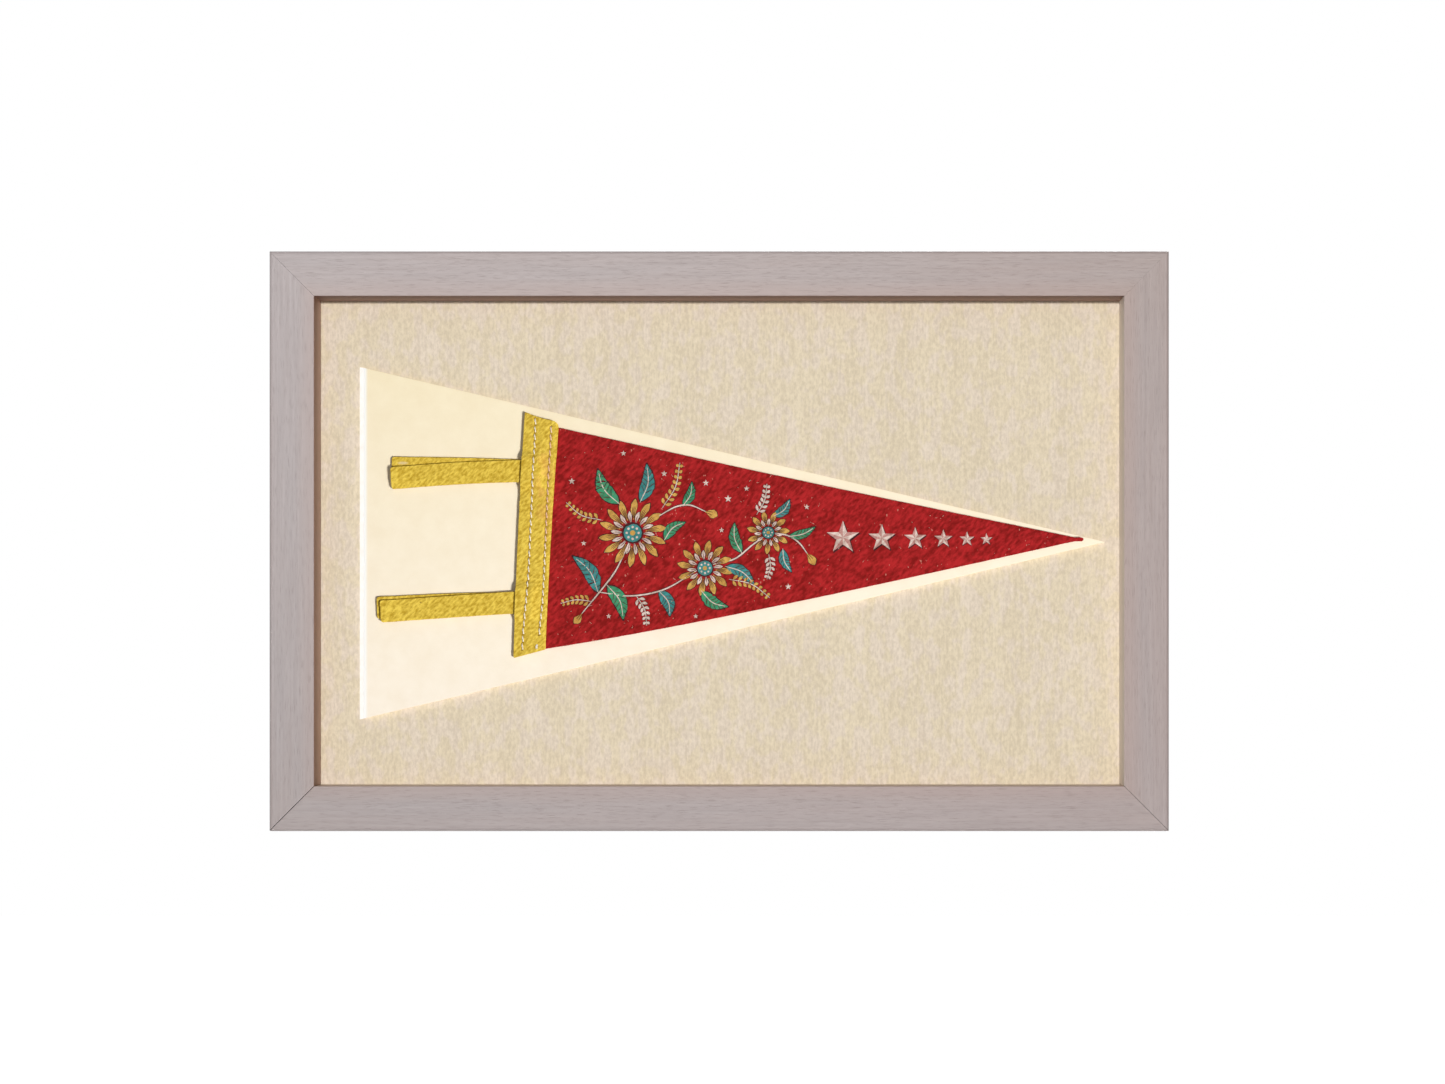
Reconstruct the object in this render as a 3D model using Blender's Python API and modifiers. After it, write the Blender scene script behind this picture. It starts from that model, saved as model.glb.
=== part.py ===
"""A felt pennant flag with a heading strip and two pairs of ties, in a picture frame.

Metres, +Z up. The picture faces -Y, and +X is to the right as one looks at it. The origin is at the
middle of the flush back, which lies against a wall in the plane Y = 0.
"""

import math
from collections import namedtuple

import bmesh
import bpy
from mathutils import Vector

# The picture frame: four mitred mouldings of one section, with a rabbet behind for the boards
FRAME_WIDTH = 0.4822
FRAME_HEIGHT = 0.3106
MOULDING_WIDTH = 0.0242
MOULDING_DEPTH = 0.0250
RABBET_WIDTH = 0.0060
RABBET_DEPTH = 0.0100
OUTER_ROUNDING = 0.0018
INNER_ROUNDING = 0.0005
ROUNDING_STEPS = 4

# Clearance between two pieces that touch
GAP = 0.0003

# Boards, from the back to the front
BACK_BOARD_THICKNESS = 0.0062
LINEN_BOARD_THICKNESS = 0.0032
PANEL_THICKNESS = 0.0030

# The cream panel: a long triangle with an upright left end, cut there on a bevel
PANEL_LEFT = -0.1955
PANEL_TOP = 0.0952
PANEL_BOTTOM = -0.0959
PANEL_TIP = (0.2084, 0.0003)
PANEL_BEVEL = 0.0030

# The felt that the pennant, its heading and its ties are cut from
FELT_THICKNESS = 0.0012

# The heading strip, by its corners on the panel. Both long sides bow a little to the left
HEADING_TOP_LEFT = (-0.1053, 0.0704)
HEADING_TOP_RIGHT = (-0.0870, 0.0645)
HEADING_BOTTOM_LEFT = (-0.1114, -0.0626)
HEADING_BOTTOM_RIGHT = (-0.0941, -0.0580)
HEADING_BOW = 0.0006
HEADING_TOP_ROUND = 0.0024
HEADING_BOTTOM_ROUND = 0.0006
HEADING_COLUMNS = 12
HEADING_ROWS = 64

# The pennant, by its corners. Its hoist lies under the heading, this far in from the heading's left
# side. Its lower edge bows outwards and its upper edge is a little hollow
PENNANT_HOIST_INSET = 0.0092
PENNANT_TOP = (-0.0872, 0.0620)
PENNANT_BOTTOM = (-0.0943, -0.0569)
PENNANT_TIP = (0.1965, 0.0016)
PENNANT_TIP_RADIUS = 0.0010
BLUNT_SHARE = 0.4
UPPER_HOLLOW = 0.0009
LOWER_BOW = 0.0027
LOWER_BOW_SKEW = 0.7
PENNANT_COLUMNS = 48
PENNANT_ROWS = 12

# How far the felt stands off the panel between the places where it lies flat, past the share of its
# length that the heading holds down: one line for each swelling, with its middle along the pennant
# (0 hoist, 1 tip) and across it (0 lower, 1 upper edge), how far it reaches each way, and its height
HEADING_COVERS = 0.045
HEADING_COVERS_EASE = 0.05
Swelling = namedtuple("Swelling", "along across reach spread height")
PENNANT_SWELLINGS = (
    Swelling(0.20, 0.80, 0.10, 0.30, 0.0009),
    Swelling(0.17, 0.25, 0.07, 0.28, 0.0007),
    Swelling(0.45, 0.50, 0.16, 0.45, 0.0006),
    Swelling(0.72, 0.35, 0.12, 0.50, 0.0008),
    Swelling(0.93, 0.50, 0.06, 0.60, 0.0007),
)

# Ties, each pair two strips laid on each other and a little askew. The middle of each strip's free
# end and of its sewn end, which lies under the heading, its layer on the panel, how far its middle
# bows upwards, and how far its free end curls off the panel
TIE_WIDTH = 0.0118
Tie = namedtuple("Tie", "name free sewn layer bow curl")
TIES = (
    Tie("tie_upper_back", (-0.1773, 0.0402), (-0.0996, 0.0385), 0, 0.0004, 0.0003),
    Tie("tie_upper_front", (-0.1774, 0.0345), (-0.0996, 0.0385), 1, 0.0008, 0.0008),
    Tie("tie_lower_back", (-0.1853, -0.0355), (-0.1030, -0.0326), 0, 0.0005, 0.0003),
    Tie("tie_lower_front", (-0.1831, -0.0375), (-0.1030, -0.0321), 1, 0.0001, 0.0006),
)
TIE_COLUMNS = 26
TIE_ROWS = 6
CURL_LENGTH = 0.014
OVERHANG_START = 0.0010
OVERHANG_SLOPE = 0.25
OVERHANG_MOST = 0.0011

# How the heading climbs over the sewn ends of the ties
TIE_COVER_MARGIN = 0.0024
TIE_COVER_EASE = 0.0075
HEADING_EDGE_DROP = 0.0012
HEADING_DROP_WIDTH = 0.0070
SEWN_END_INSET = 0.0082
SEWN_END_EASE = 0.0050

# Depths in the stack, as distances in front of the back plane
LINEN_BACK = BACK_BOARD_THICKNESS + GAP
LINEN_FRONT = LINEN_BACK + LINEN_BOARD_THICKNESS
PANEL_BACK = LINEN_FRONT + GAP
PANEL_FRONT = PANEL_BACK + PANEL_THICKNESS
LAYER_STEP = FELT_THICKNESS + GAP

# Colour (linear), roughness and metallic value of each finish
FINISHES = dict(
    washed_wood=((0.440, 0.376, 0.352), 0.55, 0.0),
    brown_board=((0.220, 0.130, 0.075), 0.80, 0.0),
    linen=((0.723, 0.610, 0.450), 0.90, 0.0),
    cream_board=((0.955, 0.850, 0.630), 0.75, 0.0),
    red_felt=((0.350, 0.015, 0.016), 0.95, 0.0),
    yellow_felt=((0.730, 0.500, 0.065), 0.95, 0.0),
)


def smoothstep(value):
    """0 below 0, 1 above 1, and an S-curve between."""
    value = max(0.0, min(1.0, value))
    return value * value * (3.0 - 2.0 * value)


def mix(start, end, share):
    return start + (end - start) * share


def finish(name):
    """The material of this name, made the first time it is asked for."""
    if name in bpy.data.materials:
        return bpy.data.materials[name]
    colour, roughness, metallic = FINISHES[name]
    material = bpy.data.materials.new(name)
    material.use_nodes = True
    shader = material.node_tree.nodes["Principled BSDF"]
    shader.inputs["Base Color"].default_value = (*colour, 1.0)
    shader.inputs["Roughness"].default_value = roughness
    shader.inputs["Metallic"].default_value = metallic
    return material


def add_piece(collection, name, mesh_data, finish_name):
    """Makes an object of a bmesh, with its normals pointing out."""
    bmesh.ops.recalc_face_normals(mesh_data, faces=mesh_data.faces)
    mesh = bpy.data.meshes.new(name)
    mesh_data.to_mesh(mesh)
    mesh_data.free()
    mesh.materials.append(finish(finish_name))
    piece = bpy.data.objects.new(name, mesh)
    collection.objects.link(piece)
    return piece


def quarter_round(centre, radius, start_angle):
    """Points of a quarter circle, turning clockwise from the angle given, in degrees."""
    points = []
    for step in range(ROUNDING_STEPS + 1):
        angle = math.radians(start_angle - 90.0 * step / ROUNDING_STEPS)
        points.append((centre[0] + radius * math.cos(angle), centre[1] + radius * math.sin(angle)))
    return points


def moulding_section():
    """The moulding's section as (distance in from the outer side, distance in front of the back)."""
    width, depth = MOULDING_WIDTH, MOULDING_DEPTH
    outer, inner = OUTER_ROUNDING, INNER_ROUNDING
    shoulder = width - RABBET_WIDTH
    return (
        [(0.0, 0.0)]
        + quarter_round((outer, depth - outer), outer, 180.0)
        + quarter_round((width - inner, depth - inner), inner, 90.0)
        + [(width, RABBET_DEPTH), (shoulder, RABBET_DEPTH), (shoulder, 0.0)]
    )


def add_moulding(collection, name, length, turn, place):
    """One side of the frame. Its section is swept along X, then each end is mitred by the section's
    own distance in from the outer side. The turn is about Y, and the place is of its outer side."""
    section = moulding_section()
    end_setback = GAP / math.sqrt(2.0)
    mesh_data = bmesh.new()
    first_end = [mesh_data.verts.new((-length / 2.0, -front, -inward)) for inward, front in section]
    first_face = mesh_data.faces.new(first_end)
    swept = bmesh.ops.extrude_face_region(mesh_data, geom=[first_face])
    for vertex in [item for item in swept["geom"] if isinstance(item, bmesh.types.BMVert)]:
        vertex.co.x = length / 2.0
    for vertex in mesh_data.verts:
        inward = -vertex.co.z
        vertex.co.x -= math.copysign(inward + end_setback, vertex.co.x)
    moulding = add_piece(collection, name, mesh_data, "washed_wood")
    moulding.location = place
    moulding.rotation_euler = (0.0, math.radians(turn), 0.0)
    return moulding


def add_frame(collection):
    half_width, half_height = FRAME_WIDTH / 2.0, FRAME_HEIGHT / 2.0
    add_moulding(collection, "frame_top", FRAME_WIDTH, 0.0, (0.0, 0.0, half_height))
    add_moulding(collection, "frame_right", FRAME_HEIGHT, 90.0, (half_width, 0.0, 0.0))
    add_moulding(collection, "frame_bottom", FRAME_WIDTH, 180.0, (0.0, 0.0, -half_height))
    add_moulding(collection, "frame_left", FRAME_HEIGHT, -90.0, (-half_width, 0.0, 0.0))


def add_board(collection, name, back, thickness, finish_name):
    """A flat board that fills the rabbet of the frame, by how far its back is in front of the wall."""
    inset = MOULDING_WIDTH - RABBET_WIDTH + GAP
    mesh_data = bmesh.new()
    bmesh.ops.create_cube(mesh_data, size=1.0)
    size = Vector((FRAME_WIDTH - 2.0 * inset, thickness, FRAME_HEIGHT - 2.0 * inset))
    bmesh.ops.scale(mesh_data, vec=size, verts=mesh_data.verts)
    bmesh.ops.translate(mesh_data, vec=(0.0, -back - thickness / 2.0, 0.0), verts=mesh_data.verts)
    return add_piece(collection, name, mesh_data, finish_name)


def add_cream_panel(collection):
    """The triangle's outline drawn out to its thickness, with the left end leaning in to the front."""
    outline = ((PANEL_LEFT, PANEL_BOTTOM), (PANEL_LEFT, PANEL_TOP), PANEL_TIP)
    mesh_data = bmesh.new()
    back_face = mesh_data.faces.new([mesh_data.verts.new((x, -PANEL_BACK, z)) for x, z in outline])
    drawn = bmesh.ops.extrude_face_region(mesh_data, geom=[back_face])
    lean = PANEL_BEVEL / (PANEL_TIP[0] - PANEL_LEFT)
    for vertex in [item for item in drawn["geom"] if isinstance(item, bmesh.types.BMVert)]:
        vertex.co.y = -PANEL_FRONT
        if vertex.co.x < PANEL_TIP[0]:
            vertex.co.x = mix(vertex.co.x, PANEL_TIP[0], lean)
            vertex.co.z = mix(vertex.co.z, PANEL_TIP[1], lean)
    return add_piece(collection, "cream_panel", mesh_data, "cream_board")


def add_sheet(collection, name, columns, rows, place_of, finish_name):
    """A felt sheet: a grid whose points are placed by place_of(along, across), both from 0 to 1, which
    gives x, z and how far the sheet's underside is above the panel. Solidify then adds its thickness
    towards the front."""
    mesh_data = bmesh.new()
    bmesh.ops.create_grid(mesh_data, x_segments=columns, y_segments=rows, size=0.5)
    for vertex in mesh_data.verts:
        x, z, height = place_of(vertex.co.x + 0.5, vertex.co.y + 0.5)
        vertex.co = (x, -PANEL_FRONT - height, z)
    bmesh.ops.recalc_face_normals(mesh_data, faces=mesh_data.faces)
    mesh_data.normal_update()
    if mesh_data.faces[:][0].normal.y > 0.0:
        bmesh.ops.reverse_faces(mesh_data, faces=mesh_data.faces)
    mesh = bpy.data.meshes.new(name)
    mesh_data.to_mesh(mesh)
    mesh_data.free()
    mesh.materials.append(finish(finish_name))
    sheet = bpy.data.objects.new(name, mesh)
    collection.objects.link(sheet)
    thickness = sheet.modifiers.new("felt_thickness", "SOLIDIFY")
    thickness.thickness = FELT_THICKNESS
    thickness.offset = 1.0
    return sheet


def heading_side(bottom, top, share):
    """x of one long side of the heading, at this share of its length from the bottom."""
    return mix(bottom[0], top[0], share) - HEADING_BOW * math.sin(math.pi * share)


def rounded_off(distance, radius):
    """How far a corner of this radius falls back, this far in from the side."""
    if distance >= radius:
        return 0.0
    return radius - math.sqrt(radius**2 - (radius - distance) ** 2)


def heading_left_at(z):
    """x of the heading's left side at this height."""
    share = (z - HEADING_BOTTOM_LEFT[1]) / (HEADING_TOP_LEFT[1] - HEADING_BOTTOM_LEFT[1])
    return heading_side(HEADING_BOTTOM_LEFT, HEADING_TOP_LEFT, max(0.0, min(1.0, share)))


def tie_cover(x, z):
    """1 where the heading lies over the sewn end of a pair of ties, and 0 away from them."""
    inset = x - heading_left_at(z)
    beside_end = 1.0 - smoothstep((inset - SEWN_END_INSET) / SEWN_END_EASE)
    cover = 0.0
    for tie in TIES:
        if tie.layer == 1:
            beyond = abs(z - tie.sewn[1]) - TIE_WIDTH / 2.0 - TIE_COVER_MARGIN
            cover = max(cover, 1.0 - smoothstep(beyond / TIE_COVER_EASE))
    return cover * beside_end


def heading_place(along, across):
    left_x = heading_side(HEADING_BOTTOM_LEFT, HEADING_TOP_LEFT, across)
    right_x = heading_side(HEADING_BOTTOM_RIGHT, HEADING_TOP_RIGHT, across)
    x = mix(left_x, right_x, along)
    top_z = mix(HEADING_TOP_LEFT[1], HEADING_TOP_RIGHT[1], along)
    top_z -= rounded_off(right_x - x, HEADING_TOP_ROUND)
    bottom_z = mix(HEADING_BOTTOM_LEFT[1], HEADING_BOTTOM_RIGHT[1], along)
    bottom_z += rounded_off(right_x - x, HEADING_BOTTOM_ROUND)
    z = mix(bottom_z, top_z, across)
    on_felt = smoothstep((x - left_x) / HEADING_DROP_WIDTH)
    resting = GAP + LAYER_STEP - HEADING_EDGE_DROP * (1.0 - on_felt)
    over_ties = GAP + 2.0 * LAYER_STEP
    return x, z, mix(resting, over_ties, tie_cover(x, z))


def swelling_height(along, across):
    """How far the pennant's felt stands off where it doesn't lie flat."""
    height = 0.0
    for swelling in PENNANT_SWELLINGS:
        far_along = (along - swelling.along) / swelling.reach
        far_across = (across - swelling.across) / swelling.spread
        height += swelling.height * math.exp(-(far_along**2) - far_across**2)
    return height


def edge_between(hoist_corner, x):
    """z of the straight line from a corner of the hoist to the tip."""
    return mix(hoist_corner[1], PENNANT_TIP[1], (x - hoist_corner[0]) / (PENNANT_TIP[0] - hoist_corner[0]))


def pennant_place(along, across):
    """The hoist follows the heading, and the far end narrows to a small round tip."""
    hoist_z = mix(PENNANT_BOTTOM[1], PENNANT_TOP[1], across)
    x = mix(heading_left_at(hoist_z) + PENNANT_HOIST_INSET, PENNANT_TIP[0], along)
    upper = edge_between(PENNANT_TOP, x) - UPPER_HOLLOW * math.sin(math.pi * along)
    lower = edge_between(PENNANT_BOTTOM, x) - LOWER_BOW * math.sin(math.pi * along**LOWER_BOW_SKEW)
    from_tip = min(1.0, max(0.0, PENNANT_TIP[0] - x) / PENNANT_TIP_RADIUS)
    half_tip = PENNANT_TIP_RADIUS * max(math.sqrt(1.0 - (1.0 - from_tip) ** 2), BLUNT_SHARE)
    half = max((upper - lower) / 2.0, half_tip)
    z = (upper + lower) / 2.0 + half * (2.0 * across - 1.0)
    clear_of_heading = smoothstep((along - HEADING_COVERS) / HEADING_COVERS_EASE)
    return x, z, GAP + swelling_height(along, across) * clear_of_heading


def side_of(tie):
    """The direction across a tie, towards its upper side."""
    run = Vector(tie.sewn) - Vector(tie.free)
    return Vector((-run.y, run.x)).normalized()


def add_tie(collection, tie, under=None):
    """A felt strip from its free end to its sewn end. One that lies on another droops where it
    reaches past it."""
    free, sewn = Vector(tie.free), Vector(tie.sewn)
    length = (sewn - free).length

    def place_of(along, across):
        bow = tie.bow * math.sin(math.pi * along)
        point = free.lerp(sewn, along) + side_of(tie) * ((across - 0.5) * TIE_WIDTH + bow)
        height = GAP + tie.layer * LAYER_STEP + tie.curl * (1.0 - smoothstep(along * length / CURL_LENGTH))
        if under:
            off_middle = abs((point - Vector(under.free)).dot(side_of(under)))
            past_side = max(0.0, off_middle - TIE_WIDTH / 2.0 - OVERHANG_START)
            height -= min(OVERHANG_MOST, past_side * OVERHANG_SLOPE)
        return point.x, point.y, height

    return add_sheet(collection, tie.name, TIE_COLUMNS, TIE_ROWS, place_of, "yellow_felt")


def main():
    for item in list(bpy.data.objects):
        bpy.data.objects.remove(item)
    parts = bpy.data.collections.new("framed_pennant_flag")
    bpy.context.scene.collection.children.link(parts)
    add_frame(parts)
    add_board(parts, "back_board", 0.0, BACK_BOARD_THICKNESS, "brown_board")
    add_board(parts, "linen_board", LINEN_BACK, LINEN_BOARD_THICKNESS, "linen")
    add_cream_panel(parts)
    add_sheet(parts, "pennant_felt", PENNANT_COLUMNS, PENNANT_ROWS, pennant_place, "red_felt")
    add_sheet(parts, "heading", HEADING_COLUMNS, HEADING_ROWS, heading_place, "yellow_felt")
    under = None
    for tie in TIES:
        add_tie(parts, tie, under if tie.layer else None)
        under = tie


main()
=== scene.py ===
# A felt pennant with a sewn heading and two pairs of ties, in a whitewashed picture frame.
# Metres, +Z up. The picture faces -Y, +X is to its right, and it hangs on a wall in the plane Y = 0.

import math
import random

import bmesh
import bpy
from mathutils import Matrix, Vector, noise


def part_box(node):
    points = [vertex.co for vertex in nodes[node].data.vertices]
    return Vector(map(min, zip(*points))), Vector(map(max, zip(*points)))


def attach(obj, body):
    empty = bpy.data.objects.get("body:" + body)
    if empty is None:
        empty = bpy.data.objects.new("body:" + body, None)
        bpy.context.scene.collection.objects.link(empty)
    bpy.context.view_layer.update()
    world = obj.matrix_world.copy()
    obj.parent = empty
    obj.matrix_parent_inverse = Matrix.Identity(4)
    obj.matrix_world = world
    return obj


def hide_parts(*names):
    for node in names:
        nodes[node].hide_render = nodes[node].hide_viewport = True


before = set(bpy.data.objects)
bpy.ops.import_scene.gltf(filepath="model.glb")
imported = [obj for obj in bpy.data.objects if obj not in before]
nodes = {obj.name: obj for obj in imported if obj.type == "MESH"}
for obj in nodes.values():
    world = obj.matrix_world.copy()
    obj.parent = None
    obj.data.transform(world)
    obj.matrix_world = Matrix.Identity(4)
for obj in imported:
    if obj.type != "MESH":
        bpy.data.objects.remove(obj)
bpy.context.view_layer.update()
print("frame loaded:", len(nodes), "solids")


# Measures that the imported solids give
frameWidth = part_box("frame_top")[1].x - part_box("frame_top")[0].x
frameHeight = 2.0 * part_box("frame_top")[1].z
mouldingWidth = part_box("frame_top")[1].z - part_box("frame_top")[0].z
mouldingDepth = -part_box("frame_top")[0].y
panelBack = -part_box("cream_panel")[1].y
panelFront = -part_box("cream_panel")[0].y
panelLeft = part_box("cream_panel")[0].x


# Small helpers

def lerp(start, end, share):
    return start + (end - start) * share


def smoothstep(value):
    value = max(0.0, min(1.0, value))
    return value * value * (3.0 - 2.0 * value)


def roundedOff(distance, radius):
    # how far a corner of this radius falls back, this far in from the side
    if distance >= radius:
        return 0.0
    return radius - math.sqrt(radius**2 - (radius - max(0.0, distance)) ** 2)


def ripple(x, z, wavelength, seed=0.0):
    # a smooth uneven value from -1 to 1 that turns over in about this length
    return noise.noise(Vector((x / wavelength, z / wavelength, seed)))


def srgb(red, green, blue):
    # a colour as it looks on a screen, 0 to 255, made linear
    channels = []
    for value in (red, green, blue):
        value /= 255.0
        channels.append(value / 12.92 if value <= 0.04045 else ((value + 0.055) / 1.055) ** 2.4)
    return (*channels, 1.0)


def addPiece(name, shape, finishes, replaced=(), sharpAngle=None, flatFaces=False):
    # flatFaces keeps the shading of a few large faces flat up to their rounded edges
    mesh = bpy.data.meshes.new(name)
    shape.to_mesh(mesh)
    shape.free()
    for finish in finishes:
        mesh.materials.append(finish)
    mesh.shade_smooth()
    if sharpAngle:
        mesh.set_sharp_from_angle(angle=math.radians(sharpAngle))
    piece = bpy.data.objects.new(name, mesh)
    if flatFaces:
        piece.modifiers.new("flat_faces", "WEIGHTED_NORMAL").keep_sharp = True
    bpy.context.scene.collection.objects.link(piece)
    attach(piece, "root")
    if replaced:
        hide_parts(*replaced)
    return piece


# Node helpers. A value that is a socket is linked, and any other is set on the node

def addNode(tree, kind, values=None, **settings):
    made = tree.nodes.new("ShaderNode" + kind)
    for name, value in settings.items():
        setattr(made, name, value)
    for name, value in (values or {}).items():
        if isinstance(value, bpy.types.NodeSocket):
            tree.links.new(value, made.inputs[name])
        else:
            made.inputs[name].default_value = value
    return made


def sums(tree, operation, first, second=0.0, third=0.0, clamp=False):
    values = {0: first, 1: second}
    if operation == "MULTIPLY_ADD":
        values[2] = third
    return addNode(tree, "Math", values, operation=operation, use_clamp=clamp).outputs[0]


def blendColours(tree, share, first, second, how="MIX"):
    values = {0: share, 6: first, 7: second}
    return addNode(tree, "Mix", values, data_type="RGBA", blend_type=how).outputs[2]


def ranged(tree, value, low, high, first=0.0, last=1.0, smooth=True):
    values = {"Value": value, "From Min": low, "From Max": high, "To Min": first, "To Max": last}
    how = "SMOOTHSTEP" if smooth else "LINEAR"
    return addNode(tree, "MapRange", values, interpolation_type=how).outputs[0]


def stretched(tree, vector, scale, turn=(0.0, 0.0, 0.0)):
    values = {"Vector": vector, "Scale": scale, "Rotation": turn}
    return addNode(tree, "Mapping", values).outputs[0]


def cloud(tree, vector, scale, detail=2.0, roughness=0.5):
    values = {"Vector": vector, "Scale": scale, "Detail": detail, "Roughness": roughness}
    return addNode(tree, "TexNoise", values).outputs[0]


def effectGroup(name, inputs, outputs):
    tree = bpy.data.node_groups.new(name, "ShaderNodeTree")
    for label, kind, value in inputs:
        socket = tree.interface.new_socket(label, in_out="INPUT", socket_type="NodeSocket" + kind)
        if value is not None:
            socket.default_value = value
    for label, kind in outputs:
        tree.interface.new_socket(label, in_out="OUTPUT", socket_type="NodeSocket" + kind)
    return tree, tree.nodes.new("NodeGroupInput").outputs, tree.nodes.new("NodeGroupOutput").inputs


def useGroup(tree, group, values):
    return addNode(tree, "Group", values, node_tree=group).outputs


def newFinish(name, roughness, **shaderValues):
    material = bpy.data.materials.new(name)
    material.use_nodes = True
    tree = material.node_tree
    shader = tree.nodes["Principled BSDF"]
    shader.inputs["Roughness"].default_value = roughness
    for label, value in shaderValues.items():
        shader.inputs[label.replace("_", " ")].default_value = value
    place = tree.nodes.new("ShaderNodeTexCoord").outputs["Object"]
    return material, tree, shader, place


def bumped(tree, shader, height, distance, strength=1.0):
    values = {"Height": height, "Distance": distance, "Strength": strength}
    tree.links.new(addNode(tree, "Bump", values).outputs[0], shader.inputs["Normal"])


def feeds(tree, value, shader, label):
    tree.links.new(value, shader.inputs[label])


def multiplied(first, second):
    return tuple(one * other for one, other in zip(first, second))


# Effects that several finishes share

def makeFeltFibres():
    # matted fibres that lie on a slant: a tone from 0 to 1, a height, and where pale flecks are
    inputs = [
        ("Vector", "Vector", None), ("Lump Scale", "Float", 700.0), ("Slant", "Float", -0.75),
        ("Broad Share", "Float", 0.30),
    ]
    tree, given, gives = effectGroup(
        "felt fibres", inputs, [("Tone", "Float"), ("Height", "Float"), ("Fleck", "Float")]
    )
    turn = addNode(tree, "CombineXYZ", {1: given["Slant"]}).outputs[0]
    values = {"Vector": given["Vector"], "Rotation": turn, "Scale": (2.1, 1.0, 1.0)}
    slanted = addNode(tree, "Mapping", values, vector_type="TEXTURE").outputs[0]
    lumps = cloud(tree, slanted, given["Lump Scale"], 2.0, 0.5)
    fine = cloud(tree, slanted, 2300.0, 2.0, 0.6)
    broad = cloud(tree, slanted, 150.0, 3.0, 0.6)
    tone = sums(tree, "MULTIPLY_ADD", lumps, 0.5, sums(tree, "MULTIPLY", fine, 0.14))
    middled = sums(tree, "SUBTRACT", broad, 0.5)
    tone = sums(tree, "MULTIPLY_ADD", middled, given["Broad Share"], tone)
    tree.links.new(ranged(tree, tone, 0.23, 0.41, smooth=False), gives["Tone"])
    height = sums(tree, "MULTIPLY_ADD", fine, 0.16, lumps)
    tree.links.new(height, gives["Height"])
    specks = cloud(tree, stretched(tree, given["Vector"], (1.0, 1.0, 0.6)), 620.0, 1.0, 0.5)
    tree.links.new(ranged(tree, specks, 0.735, 0.775), gives["Fleck"])
    return tree


def makeGrain():
    # wood grain along the vector's X: streaks and open pores from 0 to 1, and a height
    tree, given, gives = effectGroup(
        "wood grain",
        [("Vector", "Vector", None)],
        [("Broad", "Float"), ("Streaks", "Float"), ("Pores", "Float"), ("Height", "Float")],
    )
    broad = cloud(tree, stretched(tree, given["Vector"], (9.0, 90.0, 1.0)), 1.0, 3.0, 0.5)
    streaks = cloud(tree, stretched(tree, given["Vector"], (22.0, 620.0, 1.0)), 1.0, 4.0, 0.6)
    pores = cloud(tree, stretched(tree, given["Vector"], (130.0, 3300.0, 1.0)), 1.0, 1.0, 0.5)
    pores = ranged(tree, pores, 0.60, 0.72)
    tree.links.new(ranged(tree, broad, 0.3, 0.7, smooth=False), gives["Broad"])
    tree.links.new(ranged(tree, streaks, 0.28, 0.72, smooth=False), gives["Streaks"])
    tree.links.new(pores, gives["Pores"])
    tree.links.new(sums(tree, "MULTIPLY_ADD", pores, -0.6, streaks), gives["Height"])
    return tree


def makeMottle():
    # faint cloudy unevenness of card, board and paint
    inputs = [("Vector", "Vector", None), ("Scale", "Float", 60.0)]
    tree, given, gives = effectGroup("mottle", inputs, [("Tone", "Float"), ("Height", "Float")])
    wide = cloud(tree, given["Vector"], given["Scale"], 3.0, 0.6)
    fine = cloud(tree, given["Vector"], 2200.0, 2.0, 0.6)
    tone = sums(tree, "MULTIPLY_ADD", fine, 0.25, sums(tree, "MULTIPLY", wide, 0.75))
    tree.links.new(ranged(tree, tone, 0.32, 0.68, smooth=False), gives["Tone"])
    tree.links.new(fine, gives["Height"])
    return tree


feltFibres = makeFeltFibres()
grain = makeGrain()
mottle = makeMottle()


def mottledFinish(name, roughness, scale, dark, light, bumpDepth=0.0, bumpStrength=0.5):
    # a finish that is only a cloudy mixture of two colours
    material, tree, shader, place = newFinish(name, roughness)
    spread = useGroup(tree, mottle, {"Vector": place, "Scale": scale})
    feeds(tree, blendColours(tree, spread["Tone"], dark, light), shader, "Base Color")
    if bumpDepth:
        bumped(tree, shader, spread["Height"], bumpDepth, bumpStrength)
    return material


def spotMask(tree, place, centre, radii, softness=0.5):
    # 1 inside an upright ellipse about a point of the picture, fading to 0 at its rim
    centred = addNode(tree, "VectorMath", {0: place, 1: (centre[0], 0.0, centre[1])}, operation="SUBTRACT")
    scale = (1.0 / radii[0], 0.0, 1.0 / radii[1])
    scaled = addNode(tree, "VectorMath", {0: centred.outputs[0], 1: scale}, operation="MULTIPLY")
    reach = addNode(tree, "VectorMath", {0: scaled.outputs[0]}, operation="LENGTH").outputs["Value"]
    return ranged(tree, reach, 1.0 - softness, 1.0, 1.0, 0.0)


# Finishes

washedWood = {
    "dark": srgb(152, 141, 139),
    "light": srgb(191, 182, 181),
    "warmed": srgb(190, 170, 163),  # along the inner edge of the face
    "pore": srgb(128, 112, 106),
    "evenness": 0.55,
    "warmShare": 0.55,
    "warmReach": 0.011,
    "broadShare": 0.25,
    "poreShare": 0.28,
    "roughness": 0.55,
    # painted light: the face is lighter towards the top left corner, where the light comes from. Top left,
    # top right, bottom right, bottom left
    "paintedCornerLight": (srgb(244, 243, 244), srgb(233, 225, 221), srgb(228, 220, 218), srgb(224, 222, 222)),
    # each side's inner wall, at the face and at the linen: top, right, bottom, left. Brown wood with
    # painted shade: the top wall darkest and the right lightest, and each darker at the face than at the
    # linen
    "shadedInnerWalls": (
        (srgb(104, 68, 56), srgb(150, 114, 100)), (srgb(214, 204, 198), srgb(228, 216, 206)),
        (srgb(176, 158, 146), srgb(196, 176, 160)), (srgb(146, 106, 88), srgb(186, 150, 132)),
    ),
}


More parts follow.
